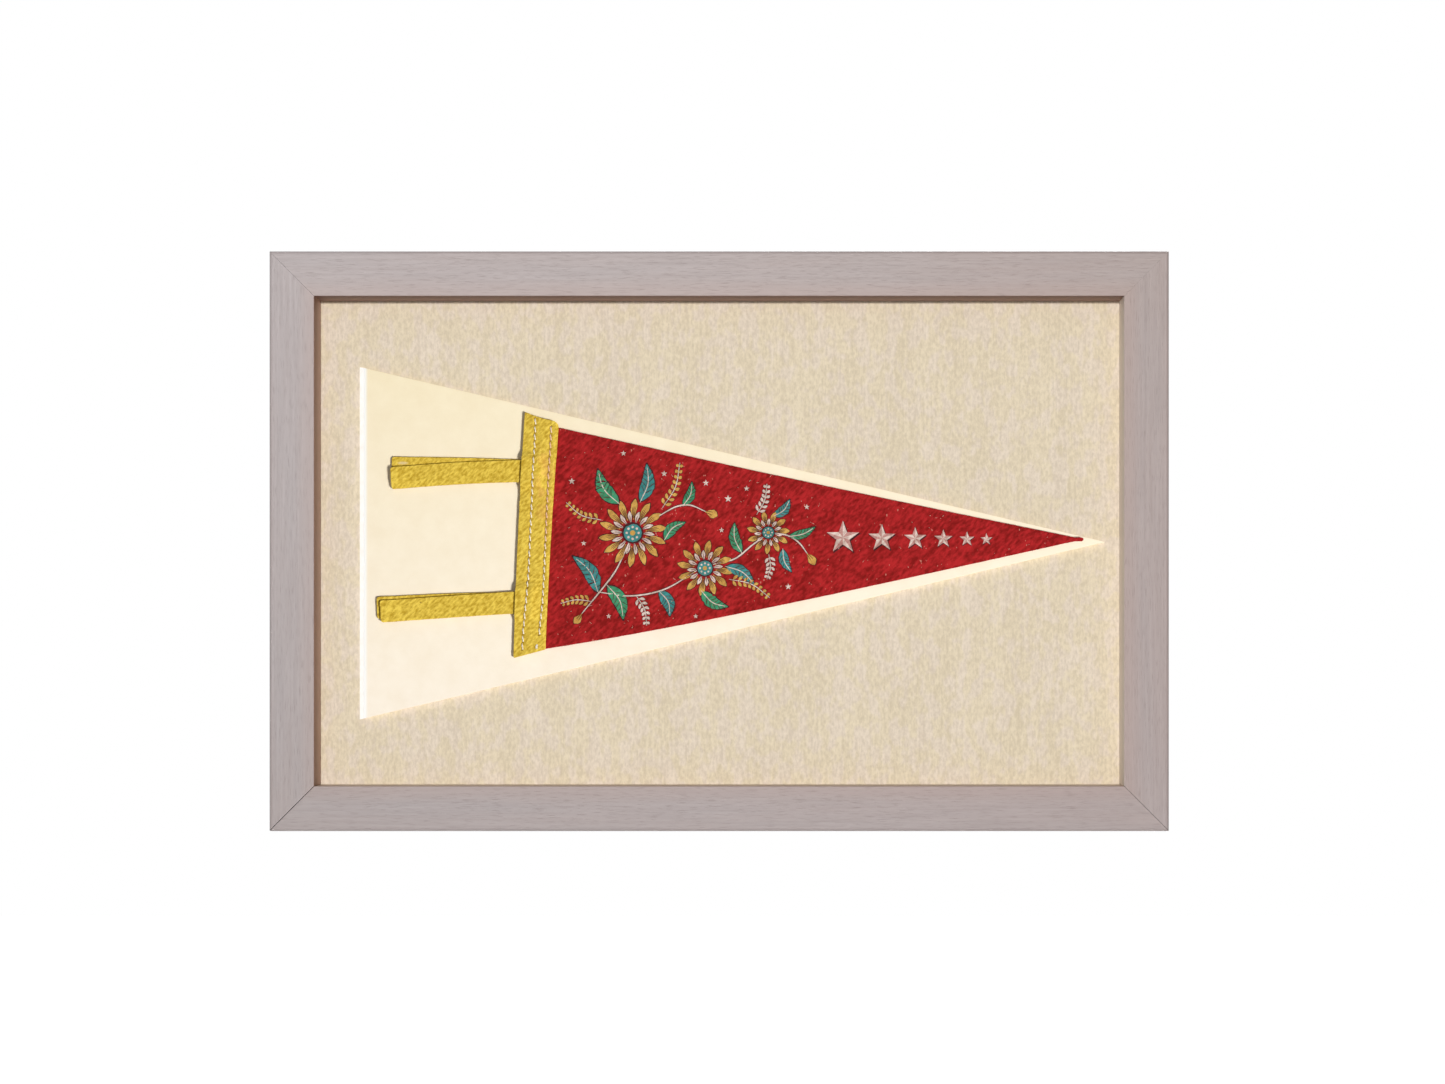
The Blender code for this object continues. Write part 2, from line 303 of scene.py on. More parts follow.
def makeWashedWood(name, paintedLightEnds, reach, shadedInnerWall):
    # whitewashed face with its grain along the UV map's U. Over this reach of U its painted light goes from
    # the first tint to the second, and its inner wall has colours of its own, with painted shade
    material, tree, shader, place = newFinish(name, washedWood["roughness"])
    alongGrain = addNode(tree, "UVMap", uv_map="grain").outputs[0]
    wood = useGroup(tree, grain, {"Vector": alongGrain})
    alongFace, acrossFace = addNode(tree, "SeparateXYZ", {0: alongGrain}).outputs[:2]
    colour = blendColours(tree, wood["Streaks"], washedWood["dark"], washedWood["light"])
    colour = blendColours(tree, washedWood["evenness"], colour, washedWood["light"])
    nearInner = mouldingDepth + mouldingWidth
    warmFrom = nearInner - washedWood["warmReach"]
    warm = ranged(tree, acrossFace, warmFrom, nearInner - 0.001, 0.0, washedWood["warmShare"])
    colour = blendColours(tree, warm, colour, washedWood["warmed"])
    broad = sums(tree, "MULTIPLY", wood["Broad"], washedWood["broadShare"])
    colour = blendColours(tree, broad, colour, washedWood["warmed"])
    pores = sums(tree, "MULTIPLY", wood["Pores"], washedWood["poreShare"])
    colour = blendColours(tree, pores, colour, washedWood["pore"])
    # painted light along the moulding, lighter towards the top left corner
    paintedLight = blendColours(tree, ranged(tree, alongFace, *reach, smooth=False), *paintedLightEnds)
    colour = blendColours(tree, 1.0, colour, paintedLight, "MULTIPLY")
    # the inner wall takes its brown with painted shade
    inside = ranged(tree, acrossFace, nearInner - 0.0003, nearInner + 0.0004)
    wall = blendColours(tree, ranged(tree, acrossFace, nearInner + 0.002, nearInner + 0.014), *shadedInnerWall)
    colour = blendColours(tree, inside, colour, wall)
    feeds(tree, colour, shader, "Base Color")
    bumped(tree, shader, wood["Height"], 0.00012, 0.6)
    return material


bareWood = {"dark": srgb(150, 112, 82), "light": srgb(186, 150, 116), "roughness": 0.7}


def makeBareWood():
    material, tree, shader, place = newFinish("bare_wood", bareWood["roughness"])
    wood = useGroup(tree, grain, {"Vector": addNode(tree, "UVMap", uv_map="grain").outputs[0]})
    colour = blendColours(tree, wood["Streaks"], bareWood["dark"], bareWood["light"])
    feeds(tree, blendColours(tree, 0.4, colour, bareWood["light"]), shader, "Base Color")
    bumped(tree, shader, wood["Height"], 0.0001, 0.8)
    return material


hardboard = {"dark": srgb(104, 76, 54), "light": srgb(140, 108, 80), "roughness": 0.8}


def makeHardboard():
    return mottledFinish(
        "hardboard", hardboard["roughness"], 160.0, hardboard["dark"], hardboard["light"], 0.0001, 0.6
    )


linen = {
    "dark": srgb(213, 197, 176),
    "light": srgb(235, 220, 200),
    "tanned": srgb(253, 253, 243),  # multiplied in, in patches
    "threadPitch": 0.00062,
    "roughness": 0.9,
}


def makeLinen():
    material, tree, shader, place = newFinish("linen_cloth", linen["roughness"], Sheen_Weight=0.05)
    grains = cloud(tree, stretched(tree, place, (1.0, 0.2, 0.55)), 620.0, 2.0, 0.6)
    specks = cloud(tree, stretched(tree, place, (1.0, 0.2, 0.5)), 1900.0, 1.0, 0.5)
    warp = cloud(tree, stretched(tree, place, (1.0, 0.2, 0.05)), 900.0, 2.0, 0.6)
    bands = cloud(tree, stretched(tree, place, (1.0, 0.2, 0.1)), 75.0, 3.0, 0.6)
    tone = sums(tree, "MULTIPLY_ADD", grains, 0.5, sums(tree, "MULTIPLY", specks, 0.16))
    tone = sums(tree, "MULTIPLY_ADD", warp, 0.20, tone)
    tone = sums(tree, "MULTIPLY_ADD", bands, 0.14, tone)
    colour = blendColours(tree, ranged(tree, tone, 0.34, 0.66), linen["dark"], linen["light"])
    patches = cloud(tree, stretched(tree, place, (1.0, 0.2, 0.6)), 170.0, 2.0, 0.5)
    tanned = blendColours(tree, 1.0, colour, linen["tanned"], "MULTIPLY")
    colour = blendColours(tree, ranged(tree, patches, 0.40, 0.56), colour, tanned)
    feeds(tree, colour, shader, "Base Color")
    turn = 2.0 * math.pi / linen["threadPitch"]
    axes = addNode(tree, "SeparateXYZ", {0: place}).outputs
    upright = sums(tree, "SINE", sums(tree, "MULTIPLY", axes[0], turn))
    level = sums(tree, "SINE", sums(tree, "MULTIPLY", axes[2], turn))
    height = sums(tree, "MULTIPLY_ADD", sums(tree, "MULTIPLY", upright, level), 0.15, grains)
    height = sums(tree, "MULTIPLY_ADD", warp, 0.3, height)
    bumped(tree, shader, height, 0.00012, 0.7)
    return material


card = {
    # painted shade: the face paper is darker and warmer at its top than at its bottom
    "upper": srgb(250, 236, 202),
    "lower": srgb(252, 241, 224),
    "core": srgb(254, 254, 252),
    "halfHeight": 0.09,
    "bevelReach": 0.0030,
    "coreGap": 0.00004,
    "cutHighlightFade": 0.0024,  # how far a painted highlight fades out across the face paper past the cut
    "softEdge": 0.00022,
    "tipHeight": 0.0003,
    "roughness": 0.75,
}


def makeCard():
    # cream face paper with painted shade, darker and warmer towards its top, and a painted highlight that
    # pales it towards the cut left end
    material, tree, shader, place = newFinish("cream_card", card["roughness"])
    axes = addNode(tree, "SeparateXYZ", {0: place}).outputs
    # painted shade, darker towards the top
    upwards = ranged(tree, axes[2], -card["halfHeight"], card["halfHeight"], smooth=False)
    colour = blendColours(tree, upwards, card["lower"], card["upper"])
    spread = useGroup(tree, mottle, {"Vector": place, "Scale": 90.0})
    shaded = blendColours(tree, 1.0, colour, srgb(250, 248, 244), "MULTIPLY")
    colour = blendColours(tree, spread["Tone"], shaded, colour)
    # painted highlight: the face paper is painted white next to the cut, fading out
    cut = panelLeft + card["bevelReach"]
    core = ranged(tree, axes[0], cut, cut + card["cutHighlightFade"], 1.0, 0.0)
    colour = blendColours(tree, core, colour, card["core"])
    feeds(tree, colour, shader, "Base Color")
    bumped(tree, shader, spread["Height"], 0.00005, 0.5)
    return material


def makeCoreFinish():
    shaded = multiplied(card["core"], srgb(246, 245, 242))
    return mottledFinish("card_core", card["roughness"], 300.0, shaded, card["core"], 0.00005)


redFelt = {
    "dark": srgb(128, 22, 20),
    "light": srgb(178, 38, 40),
    "fleck": srgb(214, 150, 130),
    "lumpScale": 620.0,
    "bump": 0.00032,
    "roughness": 0.95,
}


def makeRedFelt():
    material, tree, shader, place = newFinish("red_felt", redFelt["roughness"], Specular_IOR_Level=0.08)
    fibres = useGroup(tree, feltFibres, {"Vector": place, "Lump Scale": redFelt["lumpScale"]})
    colour = blendColours(tree, fibres["Tone"], redFelt["dark"], redFelt["light"])
    colour = blendColours(tree, sums(tree, "MULTIPLY", fibres["Fleck"], 0.6), colour, redFelt["fleck"])
    feeds(tree, colour, shader, "Base Color")
    bumped(tree, shader, fibres["Height"], redFelt["bump"])
    return material


yellowFelt = {
    "dark": srgb(190, 154, 44),
    "light": srgb(240, 208, 86),
    "seamDirtAndShade": srgb(128, 92, 34),  # painted shade with some dirt, in the furrows of the stitching
    "stain": srgb(226, 160, 92),
    "stainCentre": (-0.0945, 0.028),
    "stainReach": (0.008, 0.040),
    "paleMark": (-0.1712, 0.0428),
    "paleMarkReach": (0.0038, 0.0011),
    "darkSpeck": (-0.1613, -0.0326),
    "darkSpeckReach": (0.0006, 0.0006),
    "lumpScale": 760.0,
    "bump": 0.00042,
    "pale": srgb(232, 214, 176),
    "speck": srgb(110, 76, 40),
    "stainShare": 0.42,
    "paleShare": 0.55,
    "speckShare": 0.8,
    "roughness": 0.95,
}


def makeYellowFelt():
    # with a stain, a pale mark on one tie and a dark speck on another
    material, tree, shader, place = newFinish(
        "yellow_felt", yellowFelt["roughness"], Specular_IOR_Level=0.1
    )
    fibres = useGroup(
        tree, feltFibres, {"Vector": place, "Lump Scale": yellowFelt["lumpScale"], "Broad Share": 0.12}
    )
    colour = blendColours(tree, fibres["Tone"], yellowFelt["dark"], yellowFelt["light"])
    stain = spotMask(tree, place, yellowFelt["stainCentre"], yellowFelt["stainReach"], 0.9)
    patches = ranged(tree, cloud(tree, place, 110.0, 3.0, 0.6), 0.4, 0.62)
    stain = sums(tree, "MULTIPLY", sums(tree, "MULTIPLY", stain, patches), yellowFelt["stainShare"])
    colour = blendColours(tree, stain, colour, yellowFelt["stain"])
    pale = spotMask(tree, place, yellowFelt["paleMark"], yellowFelt["paleMarkReach"], 0.7)
    colour = blendColours(
        tree, sums(tree, "MULTIPLY", pale, yellowFelt["paleShare"]), colour, yellowFelt["pale"]
    )
    speck = spotMask(tree, place, yellowFelt["darkSpeck"], yellowFelt["darkSpeckReach"], 0.8)
    colour = blendColours(
        tree, sums(tree, "MULTIPLY", speck, yellowFelt["speckShare"]), colour, yellowFelt["speck"]
    )
    # painted shade, with some dirt, along the rows of stitching
    shade = addNode(tree, "Attribute", attribute_name="shade").outputs["Fac"]
    colour = blendColours(tree, shade, colour, yellowFelt["seamDirtAndShade"])
    feeds(tree, colour, shader, "Base Color")
    bumped(tree, shader, fibres["Height"], yellowFelt["bump"])
    return material


thread = {
    "clean": srgb(250, 242, 222),
    "stained": srgb(240, 190, 156),
    "stainCentre": (-0.0925, 0.030),
    "stainReach": (0.007, 0.044),
    "roughness": 0.7,
}


def makeThread():
    material, tree, shader, place = newFinish("cotton_thread", thread["roughness"], Sheen_Weight=0.1)
    stain = spotMask(tree, place, thread["stainCentre"], thread["stainReach"], 0.5)
    spread = useGroup(tree, mottle, {"Vector": place, "Scale": 500.0})
    colour = blendColours(tree, sums(tree, "MULTIPLY", stain, 0.85), thread["clean"], thread["stained"])
    shaded = blendColours(tree, 1.0, colour, srgb(236, 230, 222), "MULTIPLY")
    feeds(tree, blendColours(tree, spread["Tone"], shaded, colour), shader, "Base Color")
    bumped(tree, shader, spread["Height"], 0.00006)
    return material


inks = {
    "cream": srgb(228, 208, 196),
    "gold": srgb(214, 168, 84),
    "teal": srgb(58, 142, 140),
    "green": srgb(58, 150, 108),
    "worn": srgb(198, 150, 142),
    "dark": srgb(66, 26, 30),
    "wear": 0.42,  # how much of the felt's red comes through
}


def makeInk(name, colourName):
    # screen-printed ink that sits on the fibres' tops, with red felt in the hollows between them
    material, tree, shader, place = newFinish(name, 0.85, Specular_IOR_Level=0.2)
    fibres = useGroup(tree, feltFibres, {"Vector": place, "Lump Scale": redFelt["lumpScale"]})
    gaps = cloud(tree, place, 1500.0, 2.0, 0.65)
    bare = sums(tree, "MULTIPLY", ranged(tree, gaps, 0.56, 0.66), inks["wear"])
    felt = blendColours(tree, fibres["Tone"], redFelt["dark"], redFelt["light"])
    shaded = blendColours(tree, 1.0, inks[colourName], srgb(214, 206, 202), "MULTIPLY")
    colour = blendColours(tree, fibres["Tone"], shaded, inks[colourName])
    feeds(tree, blendColours(tree, bare, colour, felt), shader, "Base Color")
    bumped(tree, shader, fibres["Height"], redFelt["bump"], 0.8)
    return material


linenFinish = makeLinen()
cardFinish = makeCard()
redFeltFinish = makeRedFelt()
yellowFeltFinish = makeYellowFelt()
threadFinish = makeThread()
bareWoodFinish = makeBareWood()
print("finishes made")


# The picture frame: four mitred mouldings

moulding = {
    "outerRound": 0.0018,
    "innerRound": 0.0006,
    "roundSegments": 4,
    "rabbetWidth": 0.0060,
    "rabbetDepth": 0.0100,
    # how far each mitre stands open: top left, top right, bottom right, bottom left
    "openMitres": (0.00008, 0.00004, 0.00018, 0.00034),
}


def mouldingSide(name, node, length, turn, place, openEnds, paintedLightEnds, shadedInnerWall, grainStart):
    # swept along X from its section, given as distance in from the outer side and off the wall
    width, depth = mouldingWidth, mouldingDepth
    shoulder = width - moulding["rabbetWidth"]
    lip = moulding["rabbetDepth"]
    section = ((0, 0), (0, depth), (width, depth), (width, lip), (shoulder, lip), (shoulder, 0))
    shape = bmesh.new()
    end = shape.faces.new([shape.verts.new((-length / 2.0, -front, -inward)) for inward, front in section])
    drawn = bmesh.ops.extrude_face_region(shape, geom=[end])
    bmesh.ops.translate(
        shape, vec=(length, 0.0, 0.0), verts=[v for v in drawn["geom"] if isinstance(v, bmesh.types.BMVert)]
    )
    for inward, radius in ((0.0, moulding["outerRound"]), (width, moulding["innerRound"])):
        arris = [
            edge for edge in shape.edges
            if all(abs(v.co.y + depth) < 1e-5 and abs(v.co.z + inward) < 1e-5 for v in edge.verts)
        ]
        bmesh.ops.bevel(
            shape, geom=arris, offset=radius, affect="EDGES",
            segments=moulding["roundSegments"], profile=0.5, material=-1,
        )
    bmesh.ops.recalc_face_normals(shape, faces=shape.faces)
    for vertex in shape.verts:
        atStart = vertex.co.x < 0.0
        setback = -vertex.co.z + openEnds[0 if atStart else 1] / math.sqrt(2.0)
        vertex.co.x += setback if atStart else -setback
    mapGrain = shape.loops.layers.uv.new("grain")
    for face in shape.faces:
        behind = face.normal.y > 0.7 or face.calc_center_median().y > -lip + 1e-4 and face.normal.z < 0.0
        face.material_index = 1 if behind else 0
        for loop in face.loops:
            inward, front = -loop.vert.co.z, -loop.vert.co.y
            across = inward + front if inward < width / 2.0 else inward + 2.0 * depth - front
            loop[mapGrain].uv = (loop.vert.co.x + grainStart, across)
    turned = Matrix.Rotation(math.radians(turn), 4, "Y")
    bmesh.ops.transform(shape, matrix=Matrix.Translation(place) @ turned, verts=shape.verts)
    reach = (grainStart - length / 2.0, grainStart + length / 2.0)
    finish = makeWashedWood("washed_wood_" + name, paintedLightEnds, reach, shadedInnerWall)
    return addPiece("moulding_" + name, shape, [finish, bareWoodFinish], [node], 40.0, True)


def makeFrame():
    halfWidth, halfHeight = frameWidth / 2.0, frameHeight / 2.0
    mitres = moulding["openMitres"]
    corners = washedWood["paintedCornerLight"]
    sides = (
        ("top", frameWidth, 0.0, (0.0, 0.0, halfHeight)),
        ("right", frameHeight, 90.0, (halfWidth, 0.0, 0.0)),
        ("bottom", frameWidth, 180.0, (0.0, 0.0, -halfHeight)),
        ("left", frameHeight, -90.0, (-halfWidth, 0.0, 0.0)),
    )
    for index, (name, length, turn, place) in enumerate(sides):
        following = (index + 1) % 4
        mouldingSide(
            name, "frame_" + name, length, turn, place, (mitres[index], mitres[following]),
            (corners[index], corners[following]), washedWood["shadedInnerWalls"][index], 0.7 * index,
        )


makeFrame()
print("frame mouldings made")


# Boards

def cardEdgeAt(x, low, high, tip):
    # the panel's lower and upper edge
    share = (x - low.x) / (tip[0] - low.x)
    return lerp(low.z, tip[1], share), lerp(high.z, tip[1], share)


def makeCardFace():
    # the pennant-shaped cream card, with its long edges a little soft
    low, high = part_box("cream_panel")
    tip = (high.x, card["tipHeight"])
    cut = low.x + card["bevelReach"]
    bottom, top = cardEdgeAt(cut, low, high, tip)
    shape = bmesh.new()
    corners = [shape.verts.new((x, -panelBack, z)) for x, z in ((cut, bottom), (cut, top), tip)]
    drawn = bmesh.ops.extrude_face_region(shape, geom=[shape.faces.new(corners)])
    raised = [item for item in drawn["geom"] if isinstance(item, bmesh.types.BMVert)]
    bmesh.ops.translate(shape, vec=(0.0, panelBack - panelFront, 0.0), verts=raised)
    bmesh.ops.recalc_face_normals(shape, faces=shape.faces)
    long = [
        edge for edge in shape.edges
        if all(v.co.y < -panelFront + 1e-5 for v in edge.verts) and any(v.co.x > 0.0 for v in edge.verts)
    ]
    bmesh.ops.bevel(
        shape, geom=long, offset=card["softEdge"], affect="EDGES", segments=2, profile=0.5, material=-1
    )
    return addPiece("card_face", shape, [cardFinish], ["cream_panel"], 50.0, True)


def makeCardCore():
    # the white core that shows where the left end is cut on a bevel
    low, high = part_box("cream_panel")
    tip = (high.x, card["tipHeight"])
    cut = low.x + card["bevelReach"] - card["coreGap"]
    shape = bmesh.new()
    corners = []
    for x, front in ((low.x, panelBack), (cut, panelFront), (cut, panelBack)):
        corners.append(shape.verts.new((x, -front, cardEdgeAt(x, low, high, tip)[0])))
    drawn = bmesh.ops.extrude_face_region(shape, geom=[shape.faces.new(corners)])
    for vertex in [item for item in drawn["geom"] if isinstance(item, bmesh.types.BMVert)]:
        vertex.co.z = cardEdgeAt(vertex.co.x, low, high, tip)[1]
    bmesh.ops.recalc_face_normals(shape, faces=shape.faces)
    return addPiece("card_core", shape, [makeCoreFinish()], ["cream_panel"], 30.0)


def finishBoards():
    for node, finish in (("linen_board", linenFinish), ("back_board", makeHardboard())):
        nodes[node].data.materials.clear()
        nodes[node].data.materials.append(finish)


makeCardFace()
makeCardCore()
finishBoards()
print("boards made")


# Felt. Each sheet is a grid whose underside is placed by a function, drawn out to its thickness. Its face
# gets a relief, and where shadeOf is given, an attribute of painted shade that darkens the finish

felt = {
    "thickness": 0.0012,
    "gap": 0.0003,
    "edgeRound": 0.00026,
    "edgeSegments": 2,
    "edgeWaver": 0.00012,
    "edgeWaverLength": 0.0045,
}
layerStep = felt["thickness"] + felt["gap"]


def feltSheet(name, node, columns, rows, placeOf, reliefOf, finish, shadeOf=None):
    shape = bmesh.new()
    shade = shape.verts.layers.float.new("shade")
    bmesh.ops.create_grid(shape, x_segments=columns, y_segments=rows, size=0.5)
    under = list(shape.verts)
    drawn = bmesh.ops.extrude_face_region(shape, geom=shape.faces[:])
    over = [item for item in drawn["geom"] if isinstance(item, bmesh.types.BMVert)]
    for vertices, thickness in ((under, 0.0), (over, felt["thickness"])):
        for vertex in vertices:
            x, z, height = placeOf(vertex.co.x + 0.5, vertex.co.y + 0.5)
            relief = reliefOf(x, z) if thickness else 0.0
            vertex.co = (x, -panelFront - height - thickness - relief, z)
            if shadeOf and thickness:
                vertex[shade] = shadeOf(x, z)
    bmesh.ops.recalc_face_normals(shape, faces=shape.faces)
    onTop = set(over)
    rim = [
        edge for edge in shape.edges
        if edge.verts[0] in onTop and edge.verts[1] in onTop and edge.calc_face_angle(0.0) > 0.7
    ]
    bmesh.ops.bevel(
        shape, geom=rim, offset=felt["edgeRound"], affect="EDGES",
        segments=felt["edgeSegments"], profile=0.5, material=-1, clamp_overlap=True,
    )
    return addPiece(name, shape, [finish], [node], 60.0)


# The heading, by its corners on the panel

heading = {
    "topLeft": (-0.1053, 0.0704),
    "topRight": (-0.0870, 0.0645),
    "bottomLeft": (-0.1114, -0.0626),
    "bottomRight": (-0.0941, -0.0580),
    "bow": 0.0006,
    "topHollow": 0.0005,
    "topRound": 0.0024,
    "bottomRound": 0.0006,
    "leftRound": 0.0009,
    "edgeDrop": 0.0004,
    "dropWidth": 0.0070,
    "rimDrop": 0.00055,  # how far the right side falls off towards the pennant
    "rimWidth": 0.0013,
    "columns": 64,
    "rows": 300,
}

# Rows of stitches over it, by points of each from the top down
stitches = {
    "rows": (
        ((-0.0994, 0.0672), (-0.1001, 0.0470), (-0.1007, 0.0378), (-0.1035, -0.0221),
         (-0.1042, -0.0310), (-0.1060, -0.0469), (-0.1066, -0.0588)),
        ((-0.0909, 0.0628), (-0.0916, 0.0475), (-0.0923, 0.0394), (-0.0951, -0.0232),
         (-0.0959, -0.0356), (-0.0969, -0.0437), (-0.0976, -0.0520)),
    ),
    "pitch": 0.0042,
    "plyWidth": 0.00052,
    "slant": 0.00042,
    "rise": 0.00040,
    "sink": 0.00050,
    "furrow": 0.00042,
    "furrowWidth": 0.0018,
    "notch": 0.00035,
    "notchWidth": 0.00055,
    "notchAside": 0.00025,  # its middle lies this far to the left of the thread
}


def headingSide(bottom, top, share):
    return lerp(bottom[0], top[0], share) - heading["bow"] * math.sin(math.pi * share)


def headingLeftAt(z):
    bottom, top = heading["bottomLeft"], heading["topLeft"]
    return headingSide(bottom, top, max(0.0, min(1.0, (z - bottom[1]) / (top[1] - bottom[1]))))


def headingRightAt(z):
    bottom, top = heading["bottomRight"], heading["topRight"]
    return headingSide(bottom, top, max(0.0, min(1.0, (z - bottom[1]) / (top[1] - bottom[1]))))


def pointsAlong(route, pitch):
    # points this far apart along a route of straight runs
    places = []
    owed = 0.0
    for start, end in zip(route, route[1:]):
        start, end = Vector(start), Vector(end)
        run = (end - start).length
        while owed < run:
            places.append(start.lerp(end, owed / run))
            owed += pitch
        owed -= run
    return places


needleHoles = [pointsAlong(row, stitches["pitch"]) for row in stitches["rows"]]


def seamOffsets(x, z):
    # for each row that passes here: how far to the left of it, and how near a needle hole from 0 to 1
    offsets = []
    for holes in needleHoles:
        for start, end in zip(holes, holes[1:]):
            if end.y - 0.003 <= z <= start.y + 0.003:
                run = end - start
                share = (Vector((x, z)) - start).dot(run) / run.length_squared
                if -0.001 <= share <= 1.001:
                    off = (Vector((x, z)) - start).cross(run) / run.length
                    offsets.append((off, 0.5 + 0.5 * math.cos(2.0 * math.pi * share)))
                    break
    return offsets


def seamRelief(x, z):
    # the felt is drawn down along each row, so that it stands up round between them
    relief = 0.0
    for off, atHole in seamOffsets(x, z):
        relief -= stitches["furrow"] * math.exp(-abs(off) / stitches["furrowWidth"])
        narrow = (off - stitches["notchAside"]) / stitches["notchWidth"]
        relief -= stitches["notch"] * (0.4 + 0.6 * atHole) * math.exp(-(narrow**2))
    return relief


def seamShade(x, z):
    # painted shade with some dirt, just left of each row's thread and strongest at the needle holes
    shade = 0.0
    for off, atHole in seamOffsets(x, z):
        narrow = (off - stitches["notchAside"]) / stitches["notchWidth"]
        shade = max(shade, (0.25 + 0.55 * atHole) * math.exp(-(narrow**2)))
    return shade


# Ties, each pair two strips laid on each other and a little askew, by the middle of each end

tieWidth = 0.0118
ties = {
    "upper_back": {
        "free": (-0.1773, 0.0402), "sewn": (-0.0996, 0.0385), "layer": 0, "bow": 0.0004, "curl": 0.0003,
    },
    "upper_front": {
        "free": (-0.1774, 0.0345), "sewn": (-0.0996, 0.0385), "layer": 1, "bow": 0.0008, "curl": 0.0008,
    },
    "lower_back": {
        "free": (-0.1853, -0.0355), "sewn": (-0.1030, -0.0326), "layer": 0, "bow": 0.0005, "curl": 0.0003,
    },
    "lower_front": {
        "free": (-0.1831, -0.0375), "sewn": (-0.1030, -0.0321), "layer": 1, "bow": 0.0001, "curl": 0.0006,
    },
}
tieLay = {
    "columns": 165,
    "rows": 26,
    "endRound": 0.0011,
    "curlLength": 0.014,
    "overhangStart": 0.0010,
    "overhangSlope": 0.25,
    "overhangMost": 0.0011,
    "coverMargin": 0.0008,
    "coverEase": 0.0045,
    "sewnInset": 0.0082,
    "sewnEase": 0.0050,
}


def tieCover(x, z):
    # 1 where the heading lies over the sewn end of a pair of ties
    inset = x - headingLeftAt(z)
    besideEnd = 1.0 - smoothstep((inset - tieLay["sewnInset"]) / tieLay["sewnEase"])
    cover = 0.0
    for tie in ties.values():
        if tie["layer"] == 1:
            beyond = abs(z - tie["sewn"][1]) - tieWidth / 2.0 - tieLay["coverMargin"]
            cover = max(cover, 1.0 - smoothstep(beyond / tieLay["coverEase"]))
    return cover * besideEnd


def headingPlace(along, across):
    leftX = headingSide(heading["bottomLeft"], heading["topLeft"], across)
    rightX = headingSide(heading["bottomRight"], heading["topRight"], across)
    x = lerp(leftX, rightX, along)
    topZ = lerp(heading["topLeft"][1], heading["topRight"][1], along)
    topZ -= heading["topHollow"] * math.sin(math.pi * min(1.0, 1.25 * along))
    topZ -= roundedOff(rightX - x, heading["topRound"]) + roundedOff(x - leftX, heading["leftRound"])
    bottomZ = lerp(heading["bottomLeft"][1], heading["bottomRight"][1], along)
    bottomZ += roundedOff(rightX - x, heading["bottomRound"]) + roundedOff(x - leftX, heading["leftRound"])
    z = lerp(bottomZ, topZ, across)
    onFelt = smoothstep((x - leftX) / heading["dropWidth"])
    resting = felt["gap"] + layerStep - heading["edgeDrop"] * (1.0 - onFelt)
    overTies = felt["gap"] + 2.0 * layerStep
    waver = felt["edgeWaver"] * ripple(z, along, felt["edgeWaverLength"], 3.0)
    return x + waver * abs(2.0 * along - 1.0), z, lerp(resting, overTies, tieCover(x, z))


def headingRelief(x, z):
    lumps = 0.00005 * ripple(x - 0.5 * z, z, 0.0026, 5.0) + 0.00004 * ripple(x - 0.5 * z, z, 0.006, 6.0)
    fromRim = (headingRightAt(z) - x) / heading["rimWidth"]
    return seamRelief(x, z) + lumps - heading["rimDrop"] * (1.0 - smoothstep(fromRim))


def makeHeading():
    piece = feltSheet(
        "felt_heading", "heading", heading["columns"], heading["rows"],
        headingPlace, headingRelief, yellowFeltFinish, seamShade,
    )


def sideOf(tie):
    run = Vector(tie["sewn"]) - Vector(tie["free"])
    return Vector((-run.y, run.x)).normalized()


def tiePlacer(tie, lower=None):
    # a strip from its free end to its sewn end. One that lies on another droops where it reaches past it
    free, sewn = Vector(tie["free"]), Vector(tie["sewn"])
    length = (sewn - free).length

    def placeOf(along, across):
        fromEnd = along * length
        half = tieWidth / 2.0 - roundedOff(fromEnd, tieLay["endRound"])
        waver = felt["edgeWaver"] * ripple(fromEnd, across, felt["edgeWaverLength"], length)
        off = (2.0 * across - 1.0) * half + tie["bow"] * math.sin(math.pi * along) + waver
        point = free.lerp(sewn, along) + sideOf(tie) * off
        curl = tie["curl"] * (1.0 - smoothstep(fromEnd / tieLay["curlLength"]))
        height = felt["gap"] + tie["layer"] * layerStep + curl
        if lower:
            past = abs((point - Vector(lower["free"])).dot(sideOf(lower))) - tieWidth / 2.0
            drop = max(0.0, past - tieLay["overhangStart"]) * tieLay["overhangSlope"]
            height -= min(tieLay["overhangMost"], drop)
        return point.x, point.y, height

    return placeOf


tiePlaces = {
    "upper_back": tiePlacer(ties["upper_back"]),
    "upper_front": tiePlacer(ties["upper_front"], ties["upper_back"]),
    "lower_back": tiePlacer(ties["lower_back"]),
    "lower_front": tiePlacer(ties["lower_front"], ties["lower_back"]),
}


def makeTies():
    for index, (name, tie) in enumerate(ties.items()):
        def reliefOf(x, z, seed=31.0 + index):
            return 0.00005 * ripple(x - 0.5 * z, z, 0.0026, seed) + 0.00006 * ripple(x, z, 0.009, seed)

        piece = feltSheet(
            "felt_tie_" + name, "tie_" + name, tieLay["columns"], tieLay["rows"],
            tiePlaces[name], reliefOf, yellowFeltFinish,
        )


# The pennant, by its corners

pennant = {
    "hoistInset": 0.0092,
    "top": (-0.0872, 0.0620),
    "bottom": (-0.0943, -0.0569),
    "tip": (0.1965, 0.0016),
    "tipRadius": 0.0010,
    "bluntShare": 0.4,
    "upperHollow": 0.0009,
    "lowerBow": 0.0027,
    "lowerBowSkew": 0.7,
    "headingCovers": 0.045,
    "headingCoversEase": 0.05,
    "columns": 345,
    "rows": 116,
    "lump": 0.00006,
    "lumpLength": 0.0050,
    "puckerDepth": 0.00030,
    "puckerLength": 0.0068,
    "puckerReach": 0.022,
    "puckerSlant": 0.75,
}
